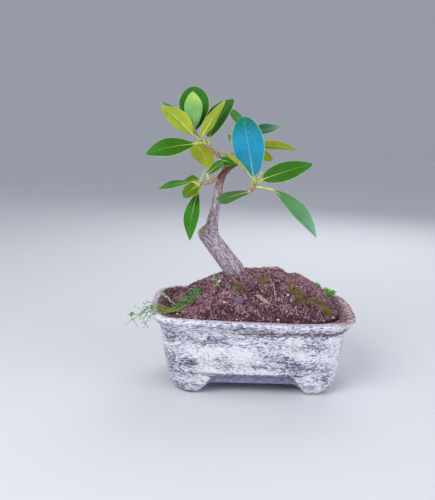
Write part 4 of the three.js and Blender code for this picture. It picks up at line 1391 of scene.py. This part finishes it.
# Rounded clods, thickest along the front at the left and below the crown at the right
def strewClods(draw):
    spots = []
    while len(spots) < soilLook["clods"]:
        x, y = [draw.uniform(*span) for span in soilLook["reach"]]
        left = math.exp(-(((x + 42) / 20) ** 2) - ((y + 34) / 9) ** 2)
        right = math.exp(-(((x - 34) / 14) ** 2) - ((y + 10) / 14) ** 2)
        hit = openHit(x, y)
        if draw.random() > 0.16 + left + 0.7 * right or hit is None:
            continue
        point, normal = hit
        size = blend(*soilLook["clod"], draw.random() ** 1.5)
        shape = (size * draw.uniform(0.95, 1.3), size, size * draw.uniform(0.7, 0.95))
        lean = leanBy(draw, 0.3)
        tone = 0.52 + draw.gauss(0, 0.1)
        turn = draw.uniform(0, 6.28)
        spots.append((standOn(point, (normal + lean).normalized(), shape, turn, 0.25 * size), tone))
    return spots


# Soil spilled on the lip at the left, a few millimetres or more inside its outer edge; its grains are dark,
# partly as soil and partly as painted shadow of the weeds
def spillOver(draw):
    spots = []
    while len(spots) < soilLook["spilled"]:
        x, y = draw.uniform(-84, -40), draw.uniform(-50, 54)
        away = rimInset(x, y) - 4.4 - 2.6 * step(x, -62, -46)
        point, normal = potSkin.ray_cast(place(x, y, 100), down)[:2]
        if point is None or normal.z < 0.7 or point.z < 0.06 or away < 6 * draw.random() ** 0.7:
            continue
        size = draw.uniform(0.35, 1.0)
        shape = [size * draw.uniform(0.75, 1.3) for axis in range(3)]
        turn = draw.uniform(0, 6.28)
        # The low tone is dark soil with painted shadow of the weeds
        spots.append((standOn(point, normal, shape, turn, 0.1 * size), 0.26 + draw.gauss(0, 0.12)))
    return spots


def scatterSoil():
    draw = random.Random(soilLook["seed"])
    apart = soilLook["step"]
    grains = [makeGrain(seed, 0.3) for seed in range(8)]
    pieces = {"soil_grains": fuseCopies("grains", grains, strewOver(draw, soilLook["grain"], apart))}
    crumbs = [makeGrain(seed, 0.25) for seed in range(20, 25)]
    pieces["soil_crumbs"] = fuseCopies("crumbs", crumbs, strewOver(draw, soilLook["crumb"], apart))
    clods = [makeLump(seed, 0.7, 0.2) for seed in range(70, 74)]
    pieces["soil_clods"] = fuseCopies("clods", clods, strewClods(draw))
    spilled = [makeGrain(seed, 0.3) for seed in range(40, 44)]
    pieces["soil_spill"] = fuseCopies("spill", spilled, spillOver(draw))
    pieces["soil_fibres"] = makeFibres(draw)
    keepTone(pieces["soil_fibres"], 0.86)
    for name, piece in pieces.items():
        settle(piece, 40, soilGrains, name, "potting_soil")
        print("stage:", name, len(piece.data.polygons), "faces")


scatterSoil()


# Moss: olive tufts among the grains

moss = {
    "patches": [
        {"from": (-15.4, -21.4), "to": (-10.6, -25.4), "spread": 3.0, "count": 240},
        {"from": (28, -23.4), "to": (38.6, -34), "spread": 4.4, "count": 1050},
        {"from": (52.5, -28.1), "to": (60.3, -30.4), "spread": 4.2, "count": 760},
        {"from": (3.9, -13.3), "to": (12.8, -27.8), "spread": 4.2, "count": 260},
        {"from": (38, -33), "to": (50, -31), "spread": 4.6, "count": 200},
    ],
    "tuft": (0.32, 0.78),
    "seed": 33,
}


def makeMossMaterial():
    material, tree, shader = newMaterial("mossTufts", Roughness=0.9)
    tones = [(0.0, "#4a3c26"), (0.35, "#6c5f2e"), (0.7, "#8e803a"), (1.0, "#beb062")]
    colour = colourRamp(tree, meshValue(tree, "tone"), tones)
    rough = noiseValue(tree, objectPlace(tree), 1200.0)
    colour = mixColour(tree, 0.4, colour, mixColour(tree, rough, paint("#4a3a2c"), paint("#8f853a")))
    dress(tree, shader, colour, rough, 0.5, 0.3)
    return material


# A tuft is a low cone whose middle is drawn out into a point
def makeTuft(seed):
    bpy.ops.mesh.primitive_cone_add(vertices=5, radius1=0.8, radius2=0.35, depth=1.2, location=(0, 0, 0.5))
    tuft = bpy.context.object
    selectFaces(tuft, lambda middle, normal: normal.z > 0.9)
    with editing("KEEP"):
        bpy.ops.mesh.extrude_region_move(TRANSFORM_OT_translate={"value": (0.1, 0.05, 0.7)})
        bpy.ops.transform.resize(value=(0.3, 0.3, 0.3))
    roughenShape(0.1, seed)
    return tuft


def makeMoss():
    draw = random.Random(moss["seed"])
    spots = []
    for patch in moss["patches"]:
        for i in range(patch["count"]):
            share = draw.random()
            x = blend(patch["from"][0], patch["to"][0], share) + draw.gauss(0, 0.6) * patch["spread"]
            y = blend(patch["from"][1], patch["to"][1], share) + draw.gauss(0, 0.55) * patch["spread"]
            # The tufts gather on the lumps and leave earth bare between
            if grain(x * 0.3, y * 0.3, 9) < draw.uniform(-0.5, 0.1):
                continue
            hit = openHit(x, y)
            size = blend(*moss["tuft"], draw.random())
            turn = draw.uniform(0, 6.28)
            lean = leanBy(draw, 0.6)
            lift = draw.uniform(0.2, 1.1)
            if hit is None:
                continue
            point, normal = hit
            axis = (normal + lean).normalized()
            spots.append((standOn(point, axis, (size, size, size * 1.1), turn, -lift), draw.random()))
    piece = fuseCopies("moss", [makeTuft(seed) for seed in range(4)], spots)
    closeNormals(piece)
    settle(piece, 50, makeMossMaterial(), "moss_tufts", "weed_green")
    print("stage: moss,", len(spots), "tufts")


makeMoss()


# Pebbles and chips that show among the grains: place, half sizes and tone

pebbles = [
    ((26.8, -30.3), (1.3, 1.0, 0.8), 1.0), ((63.3, -31.2), (1.8, 1.2, 0.9), 0.9),
    ((18.4, -44.6), (1.3, 0.9, 0.8), 0.95), ((-23.5, -35.6), (1.6, 0.8, 0.7), 1.0),
    ((-13.8, -44.3), (0.9, 0.8, 0.7), 0.95), ((-9.7, -41.5), (0.9, 0.7, 0.7), 0.9),
    ((-13.1, -34.9), (4.4, 2.2, 0.9), 0.0), ((-67.9, -24.2), (1.9, 1.6, 1.4), 0.5),
    ((-61, -32.5), (1.3, 1.1, 1.0), 0.9), ((-53.8, -35.6), (2.3, 2.6, 1.8), 0.4),
    ((-47.6, -36.5), (2.0, 2.4, 1.7), 0.5), ((-42.2, -36.4), (2.3, 2.0, 1.7), 0.45),
    ((-36.6, -37.6), (2.4, 1.9, 1.6), 0.55), ((-31, -36.2), (1.8, 2.0, 1.4), 0.4),
    ((-44.4, -31.8), (1.7, 1.6, 1.3), 0.35), ((-34.2, -31.4), (1.9, 1.7, 1.4), 0.5),
]


def makePebbles():
    material, tree, shader = newMaterial("pebbleStone", Roughness=0.8)
    rough = noiseValue(tree, objectPlace(tree), 500.0, 5.0, 0.7)
    tones = [(0.0, "#675f70"), (0.3, "#6b4c52"), (0.5, "#8f6468"), (0.7, "#a8827c"), (1.0, "#dcc6b4")]
    colour = colourRamp(tree, vary(tree, meshValue(tree, "tone"), rough, 0.3), tones)
    dress(tree, shader, colour, rough, 0.5, 0.5)
    draw = random.Random(5)
    spots = []
    for spot, size, tone in pebbles:
        hit = moundHit(*spot)
        if hit:
            point, normal = hit
            turn = draw.uniform(-0.5, 0.5)
            spots.append((standOn(point, normal, size, turn, -0.9), tone))
    shapes = []
    for seed in range(4):
        shape = makeLump(seed + 50, 0.75, 0.16)
        addModifier(shape, "SUBSURF", levels=1, render_levels=1)
        applyModifiers(shape)
        shapes.append(shape)
    settle(fuseCopies("pebbles", shapes, spots), 60, material, "soil_pebbles", "potting_soil")


makePebbles()
print("stage: pebbles")


# Weeds: a mat with trailing stems and two thin stalks

weeds = {
    "ridge": [(-41, -17.5), (-46, -21), (-53, -24.4), (-60, -27), (-66, -28.6)],
    "fan": 84,  # blades that stand up at the right end
    "mat": 92,  # blades that lie over the soil
    "runners": 9,  # creeping stems from the mound to the lip
    "twigs": 62,  # short bits between them
    "fuzz": 60,  # shreds on the lip
    "radius": 0.24,
    "seed": 5,
    "sprig": [(-62, -22, 1), (-67, -18, 3.4), (-71, -15, 6), (-75.4, -12, 9)],
    # Each trailing stem crosses the lip and hangs outside: x, y and height over the lip
    "trailing": [
        {"over": (-75, -41, 0.8), "reach": [(-81.5, -42.4, -0.6), (-85, -41.6, -6), (-87.6, -40, -11.6)]},
        {"over": (-77, -36, 0.8), "reach": [(-84.4, -37, 0.2), (-87, -37.4, -4), (-89.2, -37, -8)]},
        {"over": (-78, -30, 1), "reach": [(-85, -31, 0.8), (-93, -33, -5), (-102.4, -34, -11.2)]},
        {"over": (-78, -26, 1), "reach": [(-85.6, -27, 0.8), (-92, -30, -3.6), (-100.4, -32, -4.6)]},
        {"over": (-78, -21, 1), "reach": [(-85.6, -24, 1), (-88.4, -28, -3.2), (-92.2, -30.4, -4.8)]},
        {"over": (-78, -17, 1), "reach": [(-84.6, -19, 3), (-87, -22, 3.2), (-89.8, -26, 1.8)]},
    ],
    # Side shoots outside the lip: root and end, each with a leaf pair near its end
    "shoots": [
        ((-88, -30, -3), (-95.2, -28.6, 1.8)), ((-96.6, -33.2, -8), (-93.4, -34.4, -13)),
        ((-84.6, -30, 1), (-85.6, -37.6, -3.6)), ((-86.4, -40.6, -8.6), (-83.4, -42, -12)),
        ((-92, -31, -4), (-90.4, -33, -7.6)),
    ],
    "tuft": (-99, -32, -4),  # the cluster of young leaves at the end of a stem
    "stalks": {
        "tall": [(-32.4, -19, -3), (-32.6, -19, 3.6), (-33, -18.8, 8.6), (-32.4, -18.8, 12.8)],
        "leaning": [(-36.8, -21.4, -3), (-33.8, -21.8, 2.6), (-30.6, -21.8, 5.6), (-28.2, -21.8, 8.2)],
    },
    # Shares of the colour ramp for each kind of growth
    "tones": {"deep": 0.05, "green": 0.24, "yellow": 0.48, "straw": 0.76, "pale": 0.97},
    "ramp": [(0.0, "#0f4c2c"), (0.25, "#358f47"), (0.5, "#9db24a"), (0.75, "#a08858"), (1.0, "#a6c79e")],
}


def onMound(x, y, lift):
    hit = moundHit(x, y)
    height = hit[0].z / mm if hit else 66.0
    return Vector((x, y, height + lift))


def onRim(x, y, lift):
    return Vector((x, y, potForm["height"] * (1 - potForm["tilt"] * x / potForm["halfLength"]) + lift))


def makeWeedMaterial():
    material, tree, shader = newMaterial("weedStems", Roughness=0.6, Specular_IOR_Level=0.25)
    rough = noiseValue(tree, objectPlace(tree), 500.0, 3.0, 0.6)
    colour = colourRamp(tree, vary(tree, meshValue(tree, "tone"), rough, 0.5), weeds["ramp"])
    dress(tree, shader, colour, noiseValue(tree, objectPlace(tree), 1500.0), 0.3, 0.15)
    return material


weedGreen = makeWeedMaterial()
capsuleTones = [(0.35, "#b4cf92"), (0.65, "#e9f2d6")]
capsulePale = plainMaterial("seedCapsules", 0.5, 600.0, capsuleTones, (0.3, 0.2), (3.0, 0.6))


# A seed capsule: a small ball drawn out towards the tip of its stalk
def makeCapsule(spot, heading, radius):
    bpy.ops.mesh.primitive_uv_sphere_add(segments=10, ring_count=8, radius=radius, location=(0, 0, 0))
    capsule = bpy.context.object
    with editing():
        bpy.ops.transform.resize(value=(1, 0.9, 1.6))
    for vertex in capsule.data.vertices:
        if vertex.co.z > 0:
            narrow = 1 - 0.6 * vertex.co.z / (radius * 1.6)
            vertex.co.x *= narrow
            vertex.co.y *= narrow
    capsule.data.transform(standOn(place(*spot), heading, (1, 1, 1), 0))
    capsule.data.materials.append(capsulePale)
    keepTone(capsule, 1.0)
    return capsule


# A curved blade: up from its root, over, and down to its point
def bladeStrand(start, end, lift, radius, count=5):
    middle = start.lerp(end, 0.5) + Vector((0, 0, lift))
    radii = [radius * (1 - 0.75 * (i / count) ** 1.5) for i in range(count + 1)]
    return placesAlong([start, middle, end], count), radii


# A small leaf: a strand that swells in the middle
def leafletStrand(start, end, radius):
    points = [place(*start.lerp(end, i / 5)) for i in range(6)]
    return points, [radius * (0.25 + 0.75 * math.sin(math.pi * (0.1 + 0.8 * i / 5))) for i in range(6)]


def rodsOfTones(groups):
    pieces = []
    for kind, strands in groups.items():
        if strands:
            rods = makeRods("rods", strands, 1)
            keepTone(rods, weeds["tones"][kind])
            rods.data.materials.append(weedGreen)
            pieces.append(rods)
    return pieces


# Where a stem springs from the mound, near the ridge that the mat follows
def clamber(draw, ridge, low, high, aside):
    start = pathPoint(ridge, draw.uniform(low, high))
    start = start + Vector((draw.gauss(0, 0.5), draw.gauss(0.2, 0.6), 0)) * aside
    start.z = onMound(start.x, start.y, 0).z
    return start


def matStrands(draw):
    groups = {kind: [] for kind in weeds["tones"]}
    ridge = [onMound(x, y, 0.2) for x, y in weeds["ridge"]]
    radius = weeds["radius"]
    for i in range(weeds["fan"]):
        start = clamber(draw, ridge, 0.16, 0.5, 2.4)
        lean = draw.uniform(-1.0, 1.0)
        reach = Vector((9.5 * lean - 0.5, draw.uniform(-2.6, 2.6), 7.6 - 4.8 * abs(lean)))
        end = start + reach * draw.uniform(0.5, 1.1)
        kind = draw.choice(("green", "deep", "deep", "pale"))
        groups[kind].append(bladeStrand(start, end, draw.uniform(-0.6, 1), radius * draw.uniform(0.95, 1.4)))
    for i in range(weeds["mat"]):
        start = clamber(draw, ridge, 0.15, 0.62, 4.4)
        turn = math.pi + draw.uniform(-1.5, 1.5)
        end = start + Vector((math.cos(turn), math.sin(turn) * 0.7, 0)) * draw.uniform(4, 10.5)
        end.z = max(onMound(end.x, end.y, 0).z, start.z - 2) + draw.uniform(0.3, 3.2)
        kind = draw.choice(("green", "deep", "deep", "yellow", "pale"))
        groups[kind].append(bladeStrand(start, end, draw.uniform(0.3, 1.8), radius * draw.uniform(0.9, 1.3)))
    for i in range(weeds["runners"]):
        aside = draw.gauss(0, 4.2)
        route = []
        for share in (0.25, 0.5, 0.75, 1.0):
            spot = pathPoint(ridge, share) + Vector((0, aside * share - 1, 0))
            x, y = spot.x + draw.gauss(0, 1), spot.y + draw.gauss(0, 1.2)
            route.append(onMound(x, y, draw.uniform(0.2, 2.6)))
        route.append(onRim(-67 - draw.uniform(0, 9), -30 + aside * 2.2, draw.uniform(0.4, 1.4)))
        kind = ("yellow", "straw", "green")[i % 3]
        groups[kind].append((placesAlong(route, 14), [radius - 0.005 * j for j in range(15)]))
    for i in range(weeds["twigs"]):
        start = clamber(draw, ridge, 0.4, 1.0, 8)
        reach = Vector((draw.uniform(-5, 4), draw.uniform(-2, 4), draw.uniform(0.2, 2.8)))
        kind = draw.choice(("yellow", "straw", "deep", "green"))
        groups[kind].append(bladeStrand(start, start + reach, draw.uniform(-0.3, 0.7), radius * 0.8))
    for i in range(weeds["fuzz"]):
        x, y = draw.uniform(-84, -66), -31 + draw.gauss(0, 6)
        start = onRim(x, y, draw.uniform(0.1, 1) - 2.4 * max(0.0, -80 - x))
        reach = Vector((draw.uniform(-3, 2.4), draw.uniform(-2.4, 2), draw.uniform(-0.6, 2)))
        kind = draw.choice(("yellow", "straw", "straw"))
        groups[kind].append(bladeStrand(start, start + reach, 0.3, radius * 0.75, 4))
    return groups


# Pairs of narrow leaves stand at the joints of a stem
def addLeaflets(draw, strands, points, shares, length, radius):
    for share in shares:
        joint = pathPoint(points, share)
        for side in (-1, 1):
            reach = Vector((draw.uniform(-1, 0.3), side * draw.uniform(0.3, 0.8), draw.uniform(-0.2, 0.9)))
            strands.append(leafletStrand(joint, joint + reach * length, radius))


def makeMat():
    draw = random.Random(weeds["seed"])
    groups = matStrands(draw)
    sprig = [onMound(*weeds["sprig"][0])] + [onRim(*spot) for spot in weeds["sprig"][1:]]
    groups["pale"].append((placesAlong(sprig, 10), [0.3] * 11))
    addLeaflets(draw, groups["pale"], sprig, (0.45, 0.6, 0.75, 0.88, 1.0), 3.2, 0.75)
    capsules = []
    for i, stem in enumerate(weeds["trailing"]):
        x, y, lift = stem["over"]
        inner = [onMound(-57, -26 + (y + 28) * 0.2, 0.8), onMound(-65, -28 + (y + 28) * 0.5, 1)]
        points = inner + [onRim(x, y, lift)] + [onRim(*reach) for reach in stem["reach"]]
        parts = {"yellow": (0, 12), "green": (12, 24)}
        for kind, (low, high) in parts.items():
            radii = [0.3 - 0.004 * j for j in range(low, high + 1)]
            groups[kind].append((placesAlong(points, 24, low, high), radii))
        capsules.append(makeCapsule(points[-1], pathHeading(points, 1.0), 1.15))
        addLeaflets(draw, groups["pale"], points, (0.88,), 2.6, 0.4)
        addLeaflets(draw, groups["green"], points, (0.48, 0.66), 2.6, 0.3)
    for start, end in weeds["shoots"]:
        start, end = onRim(*start), onRim(*end)
        groups["green"].append(bladeStrand(start, end, 0.4, 0.26))
        addLeaflets(draw, groups["pale"], [start, start.lerp(end, 0.5), end], (0.95,), 1.8, 0.34)
    bunch = onRim(*weeds["tuft"])
    for i in range(9):
        reach = Vector((draw.uniform(-3, 3), draw.uniform(-2, 2), draw.uniform(-2.6, 2.4)))
        groups["pale" if i % 2 else "green"].append(leafletStrand(bunch, bunch + reach, 0.62))
    node = "weed_mat_and_stems"
    settle(joinInto(rodsOfTones(groups) + capsules), 60, None, "weed_mat_fine", frameSlot(node), node)


# Two stalks by the trunk, straw below and pale green above
def makeStalks():
    for name, path in weeds["stalks"].items():
        base = onMound(path[0][0], path[0][1], 0).z
        points = [Vector((x, y, base + lift)) for x, y, lift in path]
        lower = (placesAlong(points, 14, 0, 8), [0.42 - 0.01 * j for j in range(9)])
        upper = (placesAlong(points, 14, 8), [0.33] * 7)
        groups = {"straw": [lower], "pale": [upper]}
        joint = pathPoint(points, 0.62)
        for side in (-1, 1):
            groups["pale"].append(leafletStrand(joint, joint + Vector((side * 3, -0.5, 0.3)), 0.3))
        if name == "leaning":
            tip = points[-1] + Vector((0.6, 0.4, 1))
            groups["pale"].append(bladeStrand(tip, tip + Vector((-0.8, 0, 5.4)), 0, 0.24))
        pieces = rodsOfTones(groups)
        pieces.append(makeCapsule(points[-1] + Vector((0, 0, 0.6)), pathHeading(points, 1.0), 1.05))
        node = "weed_stalk_" + name
        settle(joinInto(pieces), 60, None, node + "_fine", frameSlot(node), node)


makeMat()
makeStalks()
print("stage: weeds")


# Bright seedling cushions at the right edge of the mound

cushions = {
    "upper": {"shift": (-2.0, -0.8), "size": (3.9, 3.8, 3.6), "count": 64, "seed": 3},
    "lower": {"shift": (-2.8, 2.2), "size": (8.2, 5.0, 4.4), "count": 150, "seed": 4},
}
cushionTurn = 2.39996  # the golden angle, which spreads leaflets evenly


# A round leaflet, cupped, on a short neck
def makeLeaflet():
    bpy.ops.mesh.primitive_grid_add(x_subdivisions=3, y_subdivisions=4, size=1, location=(0, 0, 0))
    leaflet = bpy.context.object
    for vertex in leaflet.data.vertices:
        across, along = vertex.co.x * 2, vertex.co.y + 0.5
        width = 0.62 * math.sin(math.pi * min(1, 0.12 + 0.86 * along)) ** 0.7
        vertex.co = (across * width, 0.25 * along**2 + 0.3 * (across * width) ** 2, along * 1.7)
    addModifier(leaflet, "SOLIDIFY", thickness=0.14, offset=0)
    applyModifiers(leaflet)
    closeNormals(leaflet)
    return leaflet


def makeCushions():
    material, tree, shader = newMaterial("seedlingLeaves", Roughness=0.6)
    tones = [(0.0, "#3f8f2b"), (0.4, "#74bf4c"), (0.75, "#a6dd7e"), (1.0, "#d6f4bf")]
    colour = colourRamp(tree, meshValue(tree, "tone"), tones)
    dress(tree, shader, colour, noiseValue(tree, objectPlace(tree), 900.0), 0.3, 0.2)
    for name, cushion in cushions.items():
        draw = random.Random(cushion["seed"])
        node = "weed_cushion_" + name
        low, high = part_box(node)
        middle = (low + high) / 2
        aside, lift = cushion["shift"]
        centre = Vector((middle.x + aside * mm, middle.y, high.z + (lift - cushion["size"][2] * 1.15) * mm))
        spots = []
        for i in range(cushion["count"]):
            polar = math.acos(1 - (i + 0.5) / cushion["count"] * 1.05)
            turn = i * cushionTurn + draw.random() * 0.5
            wide = math.sin(polar)
            out = Vector((wide * math.cos(turn), wide * math.sin(turn), math.cos(polar)))
            reach = draw.uniform(0.5, 0.88)
            seat = centre + Vector([a * b for a, b in zip(out, cushion["size"])]) * reach * mm
            size = draw.uniform(0.85, 1.25)
            spots.append((standOn(seat, out, (size, size, size), draw.uniform(0, 6.28)), draw.random()))
        leaflets = fuseCopies("leaflets", [makeLeaflet()], spots)
        bpy.ops.mesh.primitive_uv_sphere_add(segments=16, ring_count=10, radius=1, location=centre)
        core = bpy.context.object
        core.scale = Vector(cushion["size"]) * 0.62 * mm
        selectOnly(core)
        bpy.ops.object.transform_apply(location=True, rotation=True, scale=True)
        roughen(core, lambda local, normal: 0.5 * grain(*(local * 1.1)))
        keepTone(core, 0.1)
        settle(joinInto([leaflets, core]), 50, material, node + "_fine", frameSlot(node), node)


makeCushions()
print("stage: cushions")


# Dry litter on the mound: points are x, y, height above the mound and radius

litter = {
    "dry_twig": [(8, 4, 1.6, 0.8), (14, 4, 1.5, 1.1), (20, 4, 2.2, 0.9), (25.6, 4, 4.6, 0.5)],
    "dry_straw": [(12.6, -18, 1, 0.3), (15.4, -24, 1.3, 0.42), (16.6, -31, 1.2, 0.4), (16.6, -37, 1, 0.26)],
    "bark_chip": [(1, -32, 1.2, 0.5), (3.6, -33.6, 1.9, 1.7), (8, -36, 1.9, 1.6), (12, -38, 1.2, 0.4)],
}


def makeLitter():
    tones = [(0.34, "#7a5f5c"), (0.5, "#b39189"), (0.66, "#d6bcb2")]
    material = plainMaterial("dryLitter", 0.9, 500.0, tones, (0.6, 0.3), (5.0, 0.7), (1, 0.4, 1))
    for name, path in litter.items():
        points = [(*onMound(x, y, lift), radius) for x, y, lift, radius in path]
        piece = makeRods(name, [rodAlong(points, 18)], 3)
        roughen(piece, lambda local, normal: 0.22 * grain(local.x * 0.5, local.y * 0.5, local.z * 1.6))
        settle(piece, 60, material, name + "_fine", frameSlot(name), name)


makeLitter()
print("stage: litter")
